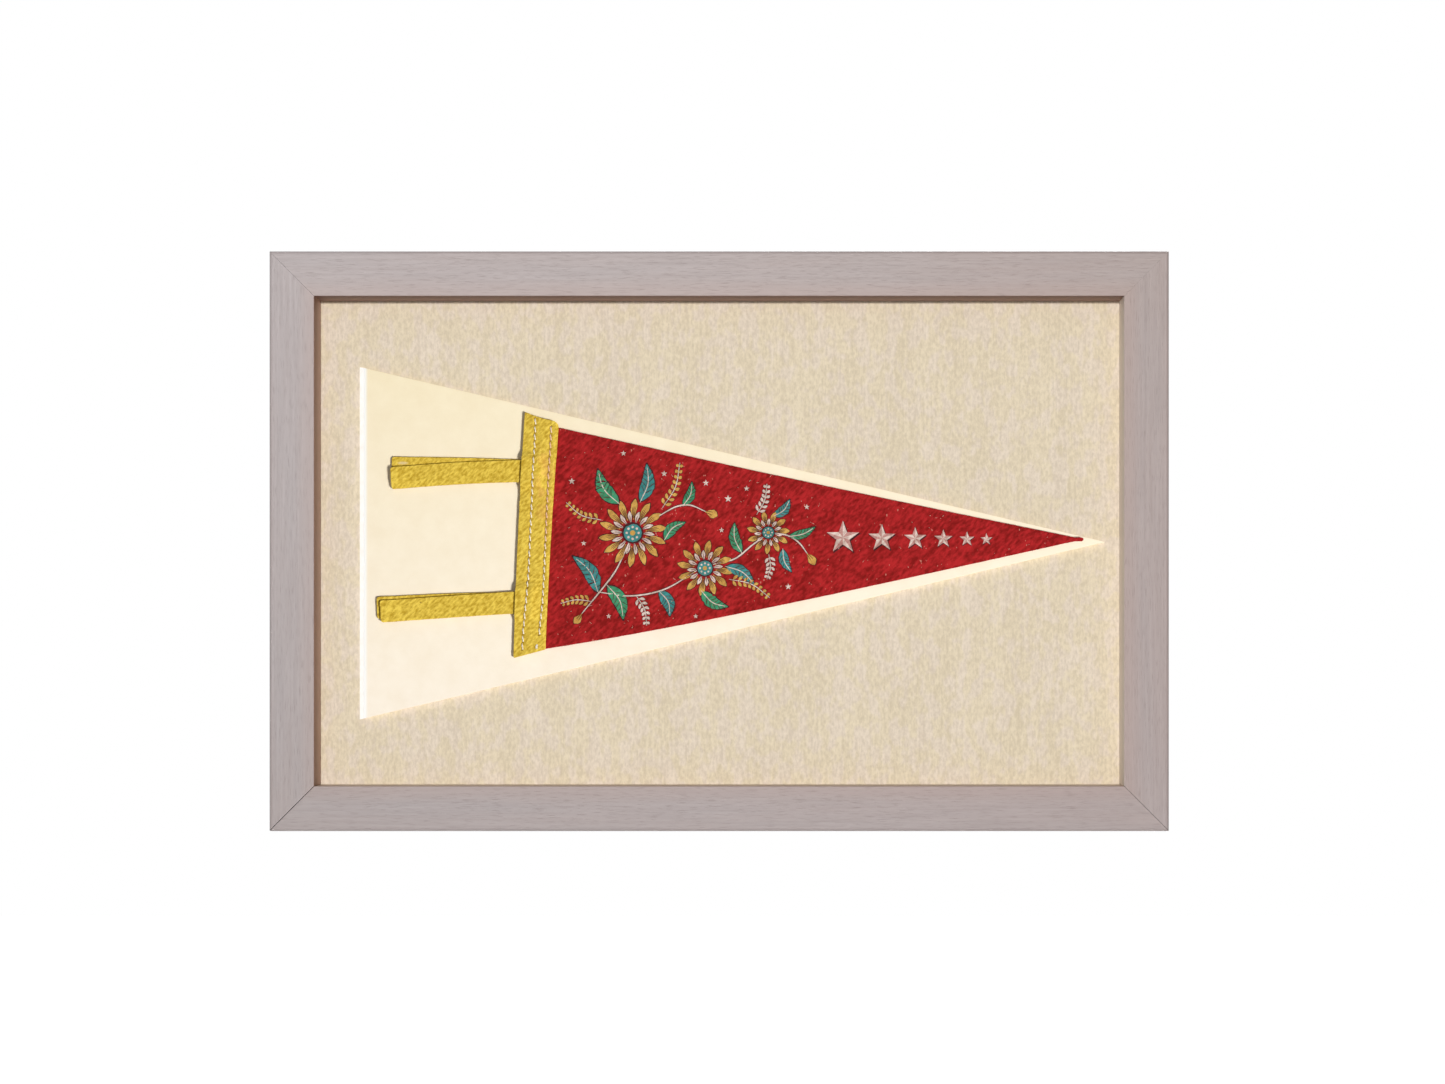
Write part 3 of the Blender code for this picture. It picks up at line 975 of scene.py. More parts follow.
# where the felt stands off: middle along and across, reach along and across, height
swellings = (
    (0.20, 0.80, 0.10, 0.30, 0.0009),
    (0.17, 0.25, 0.07, 0.28, 0.0007),
    (0.45, 0.50, 0.16, 0.45, 0.0006),
    (0.72, 0.35, 0.12, 0.50, 0.0008),
    (0.93, 0.50, 0.06, 0.60, 0.0007),
)
# soft old creases: middle, direction in degrees, half length, width, depth
creases = (
    ((-0.070, 0.043), 38.0, 0.016, 0.0020, 0.00036),
    ((-0.079, 0.034), 33.0, 0.010, 0.0018, 0.00030),
    ((-0.079, 0.010), 30.0, 0.012, 0.0018, 0.00028),
    ((-0.058, -0.020), -52.0, 0.018, 0.0016, 0.00014),
    ((0.012, 0.026), -14.0, 0.024, 0.0018, 0.00012),
    ((0.072, 0.004), 62.0, 0.016, 0.0016, 0.00012),
    ((0.138, -0.002), 50.0, 0.010, 0.0016, 0.00012),
)


def pennantEdge(hoistCorner, x):
    tip = pennant["tip"]
    return lerp(hoistCorner[1], tip[1], (x - hoistCorner[0]) / (tip[0] - hoistCorner[0]))


def pennantSpan(along, across):
    # x, and the lower and upper edge there
    hoistZ = lerp(pennant["bottom"][1], pennant["top"][1], across)
    x = lerp(headingLeftAt(hoistZ) + pennant["hoistInset"], pennant["tip"][0], along)
    upper = pennantEdge(pennant["top"], x) - pennant["upperHollow"] * math.sin(math.pi * along)
    bow = math.sin(math.pi * along ** pennant["lowerBowSkew"])
    lower = pennantEdge(pennant["bottom"], x) - pennant["lowerBow"] * bow
    return x, lower, upper


def pennantHeight(along, across):
    height = 0.0
    for middleAlong, middleAcross, reach, spread, most in swellings:
        farAlong = (along - middleAlong) / reach
        farAcross = (across - middleAcross) / spread
        height += most * math.exp(-(farAlong**2) - farAcross**2)
    clear = smoothstep((along - pennant["headingCovers"]) / pennant["headingCoversEase"])
    return felt["gap"] + height * clear


def pennantPlace(along, across):
    x, lower, upper = pennantSpan(along, across)
    fromTip = min(1.0, max(0.0, pennant["tip"][0] - x) / pennant["tipRadius"])
    halfTip = pennant["tipRadius"] * max(math.sqrt(1.0 - (1.0 - fromTip) ** 2), pennant["bluntShare"])
    half = max((upper - lower) / 2.0, halfTip)
    waver = 0.7 * felt["edgeWaver"] * ripple(x, across, felt["edgeWaverLength"], 8.0)
    z = (upper + lower) / 2.0 + half * (2.0 * across - 1.0) + waver * abs(2.0 * across - 1.0)
    return x, z, pennantHeight(along, across)


def pennantRelief(x, z):
    # puckers that run out from the stitching, old creases and the felt's own lumps
    past = x - headingRightAt(z)
    fade = smoothstep(past / 0.004) * math.exp(-max(0.0, past) / pennant["puckerReach"])
    across = (z - pennant["puckerSlant"] * past) / pennant["puckerLength"]
    sway = 1.4 * ripple(x, z, 0.018, 21.0)
    relief = pennant["puckerDepth"] * fade * math.sin(2.0 * math.pi * (across + sway))
    for middle, direction, halfLength, width, depth in creases:
        away = Vector((x - middle[0], z - middle[1]))
        along = Vector((math.cos(math.radians(direction)), math.sin(math.radians(direction))))
        off = away.cross(along) / width
        reach = away.dot(along) / halfLength
        relief -= depth * math.exp(-(off**2) - reach**2)
    lumps = pennant["lump"] * ripple(x - 0.5 * z, z, pennant["lumpLength"], 12.0)
    return (relief + lumps) * smoothstep((past + 0.001) / 0.004)


def pennantTop(x, z):
    # how far the pennant's face is in front of the wall at this point
    along, across = 0.5, 0.5
    for step in range(4):
        hoistZ = lerp(pennant["bottom"][1], pennant["top"][1], across)
        hoistX = headingLeftAt(hoistZ) + pennant["hoistInset"]
        along = (x - hoistX) / (pennant["tip"][0] - hoistX)
        lower, upper = pennantSpan(along, across)[1:]
        across = max(0.0, min(1.0, (z - lower) / (upper - lower)))
    return panelFront + pennantHeight(along, across) + felt["thickness"] + pennantRelief(x, z)


def makePennant():
    piece = feltSheet(
        "felt_pennant", "pennant_felt", pennant["columns"], pennant["rows"],
        pennantPlace, pennantRelief, redFeltFinish,
    )


makePennant()
makeHeading()
makeTies()
print("felt made")


# Thin round runs, such as thread and fibres, made as curves and then turned into one mesh

def tubeRuns(name, runs, width, resolution, finish):
    # each run is a list of (place, share of the width)
    curve = bpy.data.curves.new(name + "_path", "CURVE")
    curve.dimensions = "3D"
    curve.bevel_depth = width / 2.0
    curve.bevel_resolution = resolution
    curve.use_fill_caps = True
    for run in runs:
        spline = curve.splines.new("POLY")
        spline.points.add(len(run) - 1)
        for point, (place, share) in zip(spline.points, run):
            point.co = (*place, 1.0)
            point.radius = share
    holder = bpy.data.objects.new(name + "_path", curve)
    bpy.context.scene.collection.objects.link(holder)
    evaluated = holder.evaluated_get(bpy.context.evaluated_depsgraph_get())
    mesh = bpy.data.meshes.new_from_object(evaluated)
    bpy.data.objects.remove(holder)
    shape = bmesh.new()
    shape.from_mesh(mesh)
    bpy.data.meshes.remove(mesh)
    bmesh.ops.remove_doubles(shape, verts=shape.verts, dist=1e-6)
    bmesh.ops.recalc_face_normals(shape, faces=shape.faces)
    return addPiece(name, shape, [finish])


def headingTop(x, z):
    # how far the heading's face is in front of the wall at this point
    leftX = headingLeftAt(z)
    onFelt = smoothstep((x - leftX) / heading["dropWidth"])
    resting = felt["gap"] + layerStep - heading["edgeDrop"] * (1.0 - onFelt)
    height = lerp(resting, felt["gap"] + 2.0 * layerStep, tieCover(x, z))
    return panelFront + height + felt["thickness"] + headingRelief(x, z)


def stitchRuns(start, end):
    # one stitch: two plies twisted round each other, that rise from one hole and dive into the next
    runs = []
    run = end - start
    side = Vector((-run.y, run.x)).normalized()
    middle = start.lerp(end, 0.5)
    faceFront = headingTop(middle.x, middle.y)
    steps = 10
    for ply in (0, 1):
        points = []
        for step in range(steps + 1):
            share = step / steps
            arch = math.sin(math.pi * share) ** 0.7
            spin = math.pi * (2.4 * share + ply)
            ride = 0.36 * stitches["plyWidth"]
            place = start.lerp(end, 0.04 + 0.92 * share)
            place += side * (stitches["slant"] * (2.0 * share - 1.0) + ride * math.cos(spin))
            front = faceFront - stitches["sink"] + (stitches["sink"] + stitches["rise"]) * arch
            front += ride * math.sin(spin)
            points.append(((place.x, -front, place.y), 0.55 + 0.45 * arch))
        runs.append(points)
    return runs


def makeStitches():
    runs = []
    for holes in needleHoles:
        for start, end in zip(holes, holes[1:]):
            runs += stitchRuns(start, end)
    tubeRuns("stitch_rows", runs, stitches["plyWidth"], 1, threadFinish)


threadTuft = {
    "place": (-0.0985, -0.0553),
    "spread": (3e-4, 4e-4),
    "ends": 9,
    "steps": 5,
    "thickness": 0.00034,
}


def makeThreadEnds():
    # the small tuft that the second row ends in
    random.seed(14)
    across, upwards = threadTuft["spread"]
    middle = Vector(threadTuft["place"])
    runs = []
    for index in range(threadTuft["ends"]):
        start = middle + Vector((random.uniform(-across, across), random.uniform(-upwards, upwards)))
        end = start + Vector((random.uniform(-0.0011, 0.0004), -random.uniform(0.0012, 0.0026)))
        points = []
        for step in range(threadTuft["steps"] + 1):
            share = step / threadTuft["steps"]
            place = start.lerp(end, share)
            lift = 0.00015 + 0.0003 * math.sin(math.pi * share) * random.uniform(0.6, 1.3)
            points.append(((place.x, -headingTop(place.x, place.y) - lift, place.y), 1.0 - 0.3 * share))
        runs.append(points)
    tubeRuns("thread_tuft", runs, threadTuft["thickness"], 1, threadFinish)


makeStitches()
makeThreadEnds()
print("stitching made")


# The print: a garland of three blooms, scattered small stars, and a row of stars towards the tip

printing = {
    "sink": 0.00005,  # how far the film of ink reaches into the felt
    "shade": 0.00006,
    "fill": 0.00010,
    "line": 0.00014,
    "lineWidth": 0.00050,
    "fineWidth": 0.00034,
    "outline": 0.00045,
    "leafletLength": 0.0042,
    "leafletTurn": 0.85,
    "leafletWidth": 0.544,  # as a share of the space between two pairs
    "raggedness": 0.22,
    "raggedLength": 0.0009,
}

# middle, radius, petals, turn in degrees
blooms = (
    ((-0.0470, 0.0050), 0.0190, 14, 8.0),
    ((-0.0080, -0.0140), 0.0155, 12, 20.0),
    ((0.0262, 0.0052), 0.0120, 11, 4.0),
)
# routes of the stems, by the points they pass
stems = (
    ((-0.0745, -0.0385), (-0.0650, -0.0270), (-0.0560, -0.0150), (-0.0480, 0.0020)),
    ((-0.0650, -0.0270), (-0.0480, -0.0290), (-0.0300, -0.0255), (-0.0120, -0.0150)),
    ((-0.0040, -0.0120), (0.0080, -0.0090), (0.0170, -0.0020), (0.0250, 0.0040)),
    ((0.0290, 0.0050), (0.0370, 0.0035), (0.0430, -0.0005), (0.0475, -0.0065)),
    ((-0.0330, 0.0140), (-0.0240, 0.0190), (-0.0160, 0.0200), (-0.0075, 0.0165)),
)
# from, to, width, how far it bends to its left, ink
leaves = (
    ((-0.0655, -0.0275), (-0.0800, -0.0070), 0.0078, -0.0030, "teal"),
    ((-0.0610, -0.0230), (-0.0520, -0.0425), 0.0076, 0.0028, "green"),
    ((-0.0540, 0.0205), (-0.0660, 0.0400), 0.0078, 0.0030, "green"),
    ((-0.0430, 0.0215), (-0.0395, 0.0430), 0.0072, -0.0026, "teal"),
    ((-0.0300, 0.0010), (-0.0180, 0.0110), 0.0058, 0.0022, "green"),
    ((-0.0330, -0.0262), (-0.0270, -0.0405), 0.0066, 0.0024, "teal"),
    ((-0.0100, -0.0262), (0.0050, -0.0350), 0.0064, -0.0024, "green"),
    ((0.0030, -0.0130), (0.0190, -0.0230), 0.0062, 0.0022, "teal"),
    ((0.0120, -0.0060), (0.0080, 0.0110), 0.0058, 0.0020, "green"),
    ((0.0290, 0.0140), (0.0380, 0.0235), 0.0052, -0.0018, "teal"),
    ((0.0370, 0.0030), (0.0520, 0.0085), 0.0046, -0.0014, "green"),
    ((0.0340, -0.0035), (0.0390, -0.0165), 0.0050, -0.0016, "teal"),
    ((-0.0200, 0.0195), (-0.0150, 0.0330), 0.0050, -0.0018, "green"),
)
# buds: from, to, width
buds = (
    ((0.0470, -0.0060), (0.0515, -0.0125), 0.0042),
    ((-0.0080, 0.0165), (-0.0010, 0.0140), 0.0046),
    ((-0.0745, -0.0385), (-0.0790, -0.0440), 0.0038),
)
# middle and radius of small plain stars, and of the large ones in two inks
smallStars = (
    ((-0.0800, 0.0330), 0.0019), ((-0.0520, 0.0480), 0.0016), ((-0.0300, 0.0370), 0.0017),
    ((-0.0075, 0.0320), 0.0018), ((0.0045, 0.0235), 0.0021), ((0.0145, 0.0290), 0.0016),
    ((-0.0735, -0.0005), 0.0016), ((-0.0600, -0.0400), 0.0015), ((0.0370, -0.0240), 0.0018),
    ((0.0010, 0.0065), 0.0015), ((-0.0130, -0.0400), 0.0014), ((0.0470, 0.0190), 0.0016),
)
# sprigs of small leaflets in pairs: from, to, how far it bends to its left, pairs, ink
sprigs = (
    ((-0.0640, 0.0120), (-0.0830, 0.0215), 0.0025, 7, "gold"),
    ((-0.0310, 0.0185), (-0.0215, 0.0430), -0.0025, 8, "gold"),
    ((-0.0450, -0.0290), (-0.0395, -0.0450), 0.0018, 6, "cream"),
    ((0.0050, -0.0200), (0.0270, -0.0300), 0.0026, 8, "gold"),
    ((0.0200, 0.0150), (0.0255, 0.0315), -0.0016, 6, "cream"),
    ((0.0265, -0.0065), (0.0255, -0.0200), 0.0014, 5, "cream"),
    ((-0.0690, -0.0320), (-0.0860, -0.0330), -0.0014, 6, "gold"),
)
largeStars = (
    ((0.0665, 0.0025), 0.0092), ((0.0875, 0.0022), 0.0076), ((0.1055, 0.0020), 0.0063),
    ((0.1207, 0.0018), 0.0052), ((0.1335, 0.0017), 0.0042), ((0.1440, 0.0016), 0.0034),
)

inkShapes = {colourName: bmesh.new() for colourName in ("dark", "gold", "teal", "green", "worn", "cream")}


def inkPatch(colourName, columns, rows, placeOf, lift):
    # a film of ink whose points are placed on the felt by placeOf(along, across)
    shape = inkShapes[colourName]
    under = bmesh.ops.create_grid(shape, x_segments=columns, y_segments=rows, size=0.5)["verts"]
    for vertex in under:
        point = placeOf(vertex.co.x + 0.5, vertex.co.y + 0.5)
        vertex.co = (point.x, printing["sink"] - pennantTop(point.x, point.y), point.y)
    faces = list({face for vertex in under for face in vertex.link_faces})
    drawn = bmesh.ops.extrude_face_region(shape, geom=faces)["geom"]
    over = [item for item in drawn if isinstance(item, bmesh.types.BMVert)]
    bmesh.ops.translate(shape, vec=(0.0, -printing["sink"] - lift, 0.0), verts=over)


def routeThrough(points):
    # a smooth curve through the points, for along from 0 to 1
    places = [Vector(point) for point in points]
    places = [2.0 * places[0] - places[1]] + places + [2.0 * places[-1] - places[-2]]
    spans = len(points) - 1

    def routeAt(along):
        span = min(int(max(0.0, along) * spans), spans - 1)
        share = along * spans - span
        before, start, end, after = places[span:span + 4]
        smooth = 2.0 * start + (end - before) * share
        smooth += (2.0 * before - 5.0 * start + 4.0 * end - after) * share**2
        return 0.5 * (smooth + (3.0 * start - before - 3.0 * end + after) * share**3)

    return routeAt


def bentRoute(start, end, bend):
    start, end = Vector(start), Vector(end)
    side = Vector((start.y - end.y, end.x - start.x)).normalized()
    return routeThrough((start, start.lerp(end, 0.5) + side * bend, end))


def inkStroke(colourName, routeAt, widthAt, lift, columns, rows=1):
    # a strip along a route, as wide as widthAt(along), with slightly ragged sides
    def placeOf(along, across):
        place = routeAt(along)
        run = routeAt(min(1.0, along + 0.02)) - routeAt(max(0.0, along - 0.02))
        side = Vector((-run.y, run.x)).normalized()
        ragged = 1.0 + printing["raggedness"] * ripple(place.x, place.y, printing["raggedLength"], across)
        return place + side * (across - 0.5) * widthAt(along) * ragged

    inkPatch(colourName, columns, rows, placeOf, lift)


def plainWidth(width):
    return lambda along: width * (0.55 + 0.45 * math.sin(math.pi * min(1.0, max(0.0, along))))


def petalWidth(width, fullest):
    # narrow where it starts, fullest part of the way along, and pointed at its end
    power = math.log(0.5) / math.log(fullest)
    return lambda along: width * max(0.06, math.sin(math.pi * min(1.0, max(0.0, along)) ** power)) ** 0.8


def partOf(routeAt, first, last, aside=0.0, flare=0.0):
    # a stretch of a route, moved to its left by aside, and by flare more at its end
    def stretchAt(along):
        share = lerp(first, last, along)
        run = routeAt(min(1.0, share + 0.02)) - routeAt(max(0.0, share - 0.02))
        side = Vector((-run.y, run.x)).normalized()
        return routeAt(share) + side * (aside + flare * along)

    return stretchAt


def printLeaf(start, end, width, bend, colourName):
    routeAt = bentRoute(start, end, bend)
    outer = petalWidth(width + 2.0 * printing["outline"], 0.42)
    inkStroke("dark", routeAt, outer, printing["shade"], 14, 4)
    inner = partOf(routeAt, 0.04, 0.95)
    inkStroke(colourName, inner, petalWidth(width, 0.42), printing["fill"], 14, 4)
    inkStroke("cream", partOf(routeAt, 0.0, 0.88), plainWidth(printing["lineWidth"]), printing["line"], 12)
    for index in range(1, 6):
        share = 0.12 + 0.135 * index
        reach = width * (0.44 - 0.05 * abs(index - 2.4))
        for way in (-1.0, 1.0):
            vein = partOf(routeAt, share, share + 0.13, way * 0.0003, way * reach)
            inkStroke("dark", vein, plainWidth(printing["fineWidth"]), printing["line"], 4)


def printPetal(middle, angle, first, last, width, colourName, hatches):
    way = Vector((math.cos(angle), math.sin(angle)))
    start, end = Vector(middle) + way * first, Vector(middle) + way * last
    routeAt = bentRoute(start, end, 0.04 * (last - first))
    outer = petalWidth(width + 1.6 * printing["outline"], 0.62)
    inkStroke("dark", routeAt, outer, printing["shade"], 10, 3)
    inner = partOf(routeAt, 0.02, 0.95)
    inkStroke(colourName, inner, petalWidth(width, 0.62), printing["fill"], 10, 3)
    for index in range(hatches):
        off = (index - (hatches - 1) / 2.0) / max(1, hatches)
        hatch = partOf(routeAt, 0.08, 0.62 - 0.18 * abs(off), off * 0.3 * width, off * 0.42 * width)
        inkStroke("dark", hatch, plainWidth(printing["fineWidth"]), printing["line"], 6)


def printSprig(start, end, bend, pairs, colourName):
    routeAt = bentRoute(start, end, bend)
    inkStroke("dark", routeAt, plainWidth(0.0011), printing["shade"], 14)
    inkStroke("cream", routeAt, plainWidth(0.0005), printing["fill"], 14)
    width = printing["leafletWidth"] * (Vector(end) - Vector(start)).length / pairs
    outer, inner = petalWidth(width + 0.0006, 0.55), petalWidth(width, 0.55)
    for index in range(pairs):
        share = (index + 0.7) / (pairs + 0.4)
        reach = printing["leafletLength"] * (1.0 - 0.55 * share)
        place = routeAt(share)
        run = routeAt(min(1.0, share + 0.05)) - routeAt(share - 0.05)
        for way in (-1.0, 1.0):
            angle = math.atan2(run.y, run.x) + way * printing["leafletTurn"]
            end = place + Vector((math.cos(angle), math.sin(angle))) * reach
            leaflet = bentRoute(place, end, way * 0.0003)
            inkStroke("dark", leaflet, outer, printing["shade"], 6, 2)
            inkStroke(colourName, partOf(leaflet, 0.06, 0.93), inner, printing["fill"], 6, 2)


def inkDot(colourName, middle, radius, lift):
    def placeOf(along, across):
        across = 2.0 * across - 1.0
        along = 2.0 * along - 1.0
        reach = max(abs(along), abs(across))
        spot = Vector((along, across))
        return Vector(middle) + (spot.normalized() * reach * radius if reach > 0.0 else spot)

    inkPatch(colourName, 4, 4, placeOf, lift)


def printBloom(middle, radius, petals, turn):
    # two rings of petals about a round middle with a ring of dots
    for index in range(petals):
        angle = math.radians(turn) + 2.0 * math.pi * index / petals
        printPetal(middle, angle, 0.36 * radius, radius, 1.75 * radius / petals * 1.45, "gold", 3)
    for index in range(petals):
        angle = math.radians(turn) + 2.0 * math.pi * (index + 0.5) / petals
        printPetal(middle, angle, 0.26 * radius, 0.64 * radius, 1.1 * radius / petals * 1.35, "cream", 1)
    inkDot("dark", middle, 0.31 * radius, printing["line"])
    inkDot("teal", middle, 0.26 * radius, printing["line"] + 0.00004)
    for index in range(8):
        angle = 2.0 * math.pi * index / 8.0
        way = Vector((math.cos(angle), math.sin(angle)))
        inkDot("cream", Vector(middle) + way * 0.17 * radius, 0.035 * radius, printing["line"] + 0.00008)
    inkDot("gold", middle, 0.075 * radius, printing["line"] + 0.00008)


def starCorner(middle, radius, index, inner=0.40):
    # the corners go tip, inner corner, tip and so on, from the top
    angle = math.pi / 2.0 - math.pi * index / 5.0
    reach = radius if index % 2 == 0 else inner * radius
    return Vector(middle) + Vector((math.cos(angle), math.sin(angle))) * reach


def inkFacet(colourName, corners, columns, lift):
    middle, first, second = (Vector(corner) for corner in corners)

    def placeOf(along, across):
        return middle.lerp(first.lerp(second, across), along)

    inkPatch(colourName, columns, columns, placeOf, lift)


def printStar(middle, radius, inkPair, columns):
    # a faceted star, lit and shaded by turns, over a dark one that shows at its lower right
    shadeOffset = Vector((0.055, -0.075)) * radius
    for index in range(10):
        corners = [middle, starCorner(middle, radius, index), starCorner(middle, radius, index + 1)]
        grown = [starCorner(middle, 1.07 * radius, index + step) + shadeOffset for step in (0, 1)]
        inkFacet("dark", [Vector(middle) + shadeOffset] + grown, columns, printing["shade"])
        inkFacet(inkPair[index % 2], corners, columns, printing["fill"])


def makePrint():
    for route in stems:
        inkStroke("dark", routeThrough(route), plainWidth(0.0016), printing["shade"], 24)
        inkStroke("cream", routeThrough(route), plainWidth(0.0008), printing["fill"], 24)
    for start, end, width, bend, colourName in leaves:
        printLeaf(start, end, width, bend, colourName)
    for start, end, bend, pairs, colourName in sprigs:
        printSprig(start, end, bend, pairs, colourName)
    for start, end, width in buds:
        run = Vector(end) - Vector(start)
        angle = math.atan2(run.y, run.x)
        printPetal(start, angle, 0.0, run.length, width, "gold", 2)
    for middle, radius, petals, turn in blooms:
        printBloom(middle, radius, petals, turn)
    for middle, radius in smallStars:
        printStar(middle, radius, ("cream", "cream"), 2)
    for middle, radius in largeStars:
        printStar(middle, radius, ("cream", "worn"), 6)
    for colourName, shape in inkShapes.items():
        bmesh.ops.remove_doubles(shape, verts=shape.verts, dist=1e-6)
        bmesh.ops.recalc_face_normals(shape, faces=shape.faces)
        finish = makeInk(colourName + "_ink", colourName)
        addPiece("print_" + colourName, shape, [finish], sharpAngle=50.0)


makePrint()
print("print made")


# Loose fibres: pale lint on the felt, and the fuzz of its cut edges

fibres = {
    "lintDark": srgb(196, 150, 128),
    "lintLight": srgb(232, 212, 190),
    "lintCount": 130,
    "lintLengths": (0.0003, 0.0005, 0.0007, 0.0014),
    "lintWidth": 0.00022,
    "fuzzWidth": 0.000045,
    "fuzzReach": 0.00055,
    "pennantFuzz": 1100,
    "headingFuzz": 500,
    "tieFuzz": 260,
}


def makeLint():
    runs = []
    while len(runs) < fibres["lintCount"]:
        x, z = random.uniform(-0.088, 0.185), random.uniform(-0.052, 0.056)
        lower, upper = pennantEdge(pennant["bottom"], x), pennantEdge(pennant["top"], x)
        if not lower + 0.001 < z < upper - 0.002:
            continue
        angle, turn = random.uniform(0.0, math.pi), random.uniform(-1.6, 1.6)
        length = random.choice(fibres["lintLengths"]) * random.uniform(0.8, 1.3)
        points = []
        place = Vector((x, z))
        for step in range(5):
            points.append(((place.x, -pennantTop(place.x, place.y) - 0.00008, place.y), 1.0 - 0.12 * step))
            place += Vector((math.cos(angle), math.sin(angle))) * length / 4.0
            angle += turn / 4.0
        runs.append(points)
    finish = mottledFinish("pale_lint", 0.9, 300.0, fibres["lintDark"], fibres["lintLight"])
    tubeRuns("pale_lint", runs, fibres["lintWidth"], 0, finish)


def fuzzRuns(placeOf, count):
    # short fibres that stand out of the long sides of a sheet
    runs = []
    for index in range(count):
        along, across = random.random(), random.choice((0.0, 1.0))
        x, z, height = placeOf(along, across)
        nextX, nextZ = placeOf(min(1.0, along + 0.002), across)[:2]
        run = Vector((nextX - x, nextZ - z))
        if run.length < 1e-6:
            continue
        side = Vector((-run.y, run.x)).normalized() * (1.0 if across else -1.0)
        way = (side + run.normalized() * random.uniform(-0.9, 0.9)) * fibres["fuzzReach"]
        way *= random.uniform(0.3, 1.0)
        front = panelFront + height + felt["thickness"] * random.uniform(0.15, 0.95)
        curl = random.uniform(-0.0002, 0.0002)
        points = []
        for step in range(4):
            share = step / 3.0
            place = Vector((x, z)) + way * (share - 0.15)
            lift = curl * share**2
            points.append(((place.x, -front - lift, place.y), 1.0 - 0.5 * share))
        runs.append(points)
    return runs


def makeFuzz():
    red = fuzzRuns(pennantPlace, fibres["pennantFuzz"])
    tubeRuns("red_edge_fuzz", red, fibres["fuzzWidth"], 0, redFeltFinish)
    # the heading's long sides run up it, so its place is asked for the other way round
    yellow = fuzzRuns(lambda along, across: headingPlace(across, along), fibres["headingFuzz"])
    for placeOf in tiePlaces.values():
        yellow += fuzzRuns(placeOf, fibres["tieFuzz"])
    tubeRuns("yellow_edge_fuzz", yellow, fibres["fuzzWidth"], 0, yellowFeltFinish)


makeLint()
makeFuzz()
print("loose fibres made")


# Room, light and camera. As in the photograph, the felt and its card take their light from low on the
# right, the frame and its boards from nearly in front, and the card's cut end from the left

studio = {
    "domeLight": 0.22,
    "floorGlow": 1.0,
    "floorDrop": 1.5,
    "floorSize": 20.0,
}
lights = {
    "picture_light": {"place": (-0.18, -4.90, 0.50), "size": 0.35, "power": 184.0, "lights": "frame"},
    "felt_light": {"place": (2.27, -3.64, -1.30), "size": 0.6, "power": 202.0, "lights": "felt"},
    "bevel_light": {"place": (-3.20, -3.60, 0.40), "size": 0.6, "power": 60.0, "lights": "core"},
    "back_light": {"place": (0.9, 2.4, 1.3), "size": 1.4, "power": 62.0, "lights": "all"},
}


def makeStudio():
    scene = bpy.context.scene
    scene.view_settings.view_transform = "Standard"
    world = bpy.data.worlds.new("studio_white")
    world.use_nodes = True
    tree = world.node_tree
    tree.nodes.clear()
    dome = addNode(tree, "Background", {"Color": (1.0, 1.0, 1.0, 1.0), "Strength": studio["domeLight"]})
    seen = addNode(tree, "Background", {"Color": (1.0, 1.0, 1.0, 1.0), "Strength": 1.0})
    toCamera = addNode(tree, "LightPath").outputs["Is Camera Ray"]
    shown = addNode(tree, "MixShader", {0: toCamera, 1: dome.outputs[0], 2: seen.outputs[0]})
    addNode(tree, "OutputWorld", {"Surface": shown.outputs[0]})
    scene.world = world

    shape = bmesh.new()
    bmesh.ops.create_grid(shape, x_segments=1, y_segments=1, size=studio["floorSize"] / 2.0)
    bmesh.ops.translate(shape, vec=(0.0, 0.0, -studio["floorDrop"]), verts=shape.verts)
    mesh = bpy.data.meshes.new("studio_floor")
    shape.to_mesh(mesh)
    shape.free()
    paper = mottledFinish("pale_floor", 0.9, 3.0, srgb(250, 250, 249), srgb(252, 252, 251))
    shader = paper.node_tree.nodes["Principled BSDF"]
    shader.inputs["Emission Color"].default_value = (1.0, 1.0, 1.0, 1.0)
    shader.inputs["Emission Strength"].default_value = studio["floorGlow"]
    mesh.materials.append(paper)
    floor = bpy.data.objects.new("studio_floor", mesh)
    floor.visible_diffuse = False  # it is seen, but throws no light back up at the picture
    scene.collection.objects.link(floor)


def gathered(name, pieces):
    group = bpy.data.collections.new(name)
    for piece in pieces:
        group.objects.link(piece)
    return group


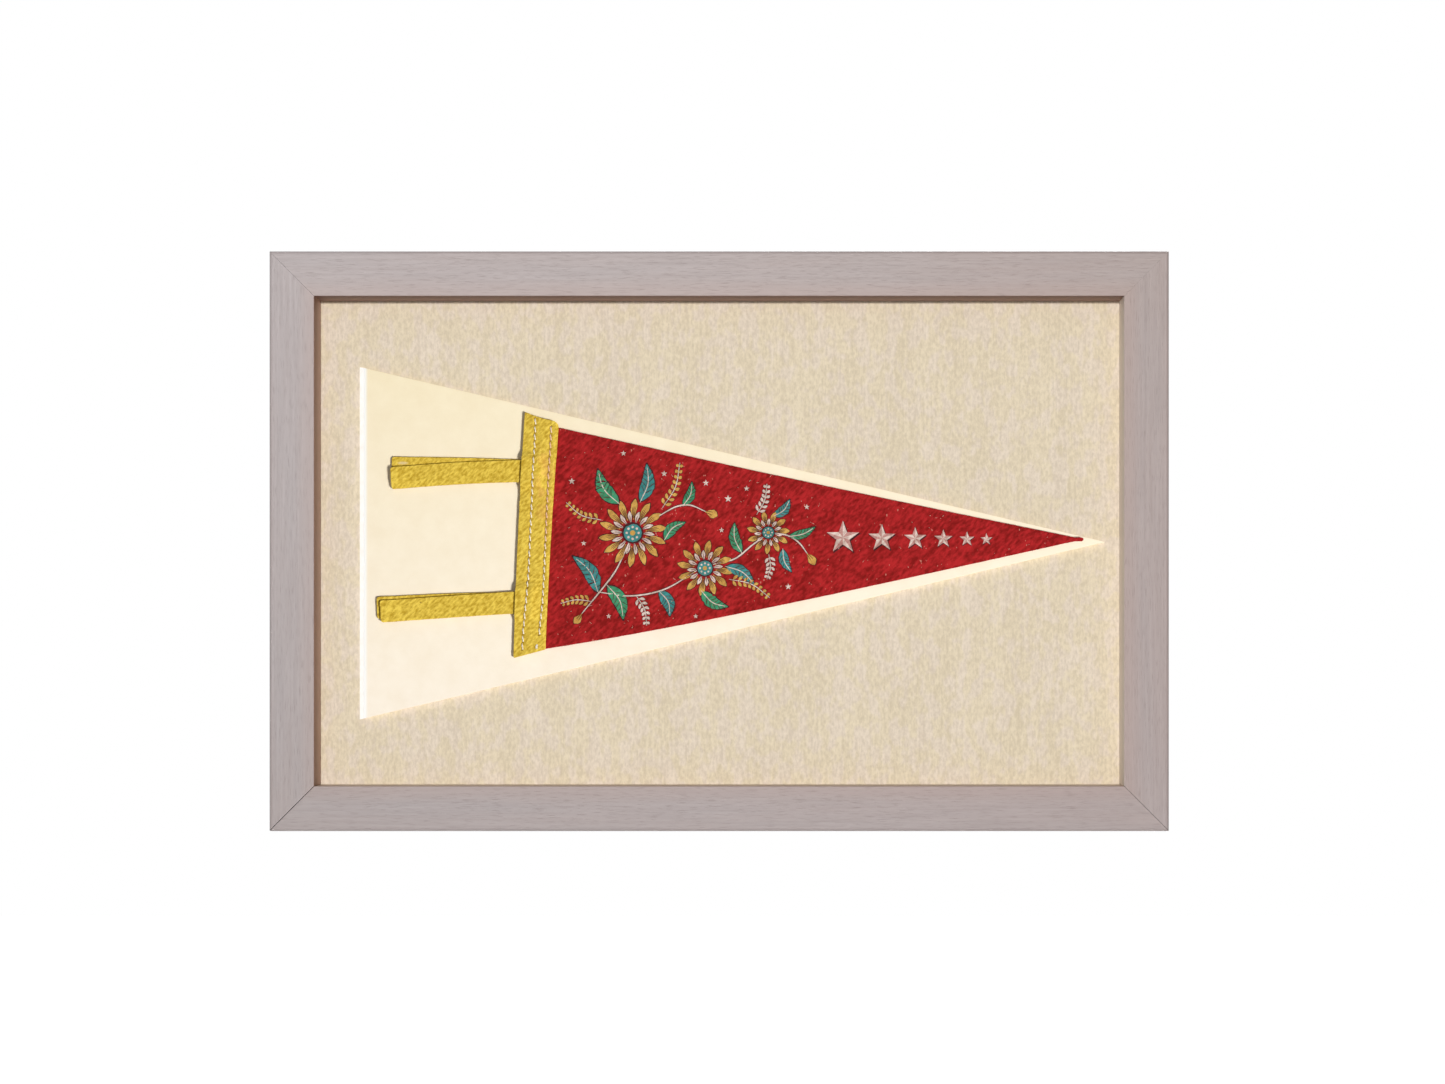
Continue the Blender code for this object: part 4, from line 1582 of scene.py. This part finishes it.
def makeLights():
    pieces = [item for item in bpy.context.scene.objects if item.type == "MESH"]
    onCard = ("felt_", "stitch_", "thread_", "print_", "pale_lint", "red_edge", "yellow_edge", "card_face")
    feltPieces = [piece for piece in pieces if piece.name.startswith(onCard)]
    framePieces = [piece for piece in pieces if piece not in feltPieces]
    lit = {"felt": gathered("lit_felt", feltPieces), "frame": gathered("lit_frame", framePieces)}
    lit["core"] = gathered("lit_core", [piece for piece in pieces if piece.name == "card_core"])
    mouldings = [piece for piece in pieces if piece.name.startswith("moulding_")]
    shading = {"felt": gathered("shading_felt", feltPieces), "frame": gathered("shading_frame", mouldings)}
    shading["core"] = shading["frame"]
    for name, facts in lights.items():
        lamp = bpy.data.lights.new(name, "AREA")
        lamp.shape = "SQUARE"
        lamp.size = facts["size"]
        lamp.energy = facts["power"]
        holder = bpy.data.objects.new(name, lamp)
        holder.location = facts["place"]
        holder.rotation_euler = (-Vector(facts["place"])).to_track_quat("-Z", "Y").to_euler()
        bpy.context.scene.collection.objects.link(holder)
        if facts["lights"] != "all":
            holder.light_linking.receiver_collection = lit[facts["lights"]]
            holder.light_linking.blocker_collection = shading[facts["lights"]]


camera = {
    "place": (0.035, -1.075, -0.065),
    "looksAt": (0.0018, -0.0005),  # the point of the frame's face in the middle of the image
    "imageWidth": 1445,
    "pixel": 0.000535,  # on the frame's face
    "sensor": 36.0,
}


def makeCamera():
    data = bpy.data.cameras.new("camera")
    holder = bpy.data.objects.new("camera", data)
    holder.location = camera["place"]
    holder.rotation_euler = (math.pi / 2.0, 0.0, 0.0)
    seenWidth = camera["pixel"] * camera["imageWidth"]
    distance = -camera["place"][1] - mouldingDepth
    data.sensor_width = camera["sensor"]
    data.lens = camera["sensor"] * distance / seenWidth
    data.shift_x = (camera["looksAt"][0] - camera["place"][0]) / seenWidth
    data.shift_y = (camera["looksAt"][1] - camera["place"][2]) / seenWidth
    bpy.context.scene.collection.objects.link(holder)
    bpy.context.scene.camera = holder


makeStudio()
makeLights()
makeCamera()
print("studio made")
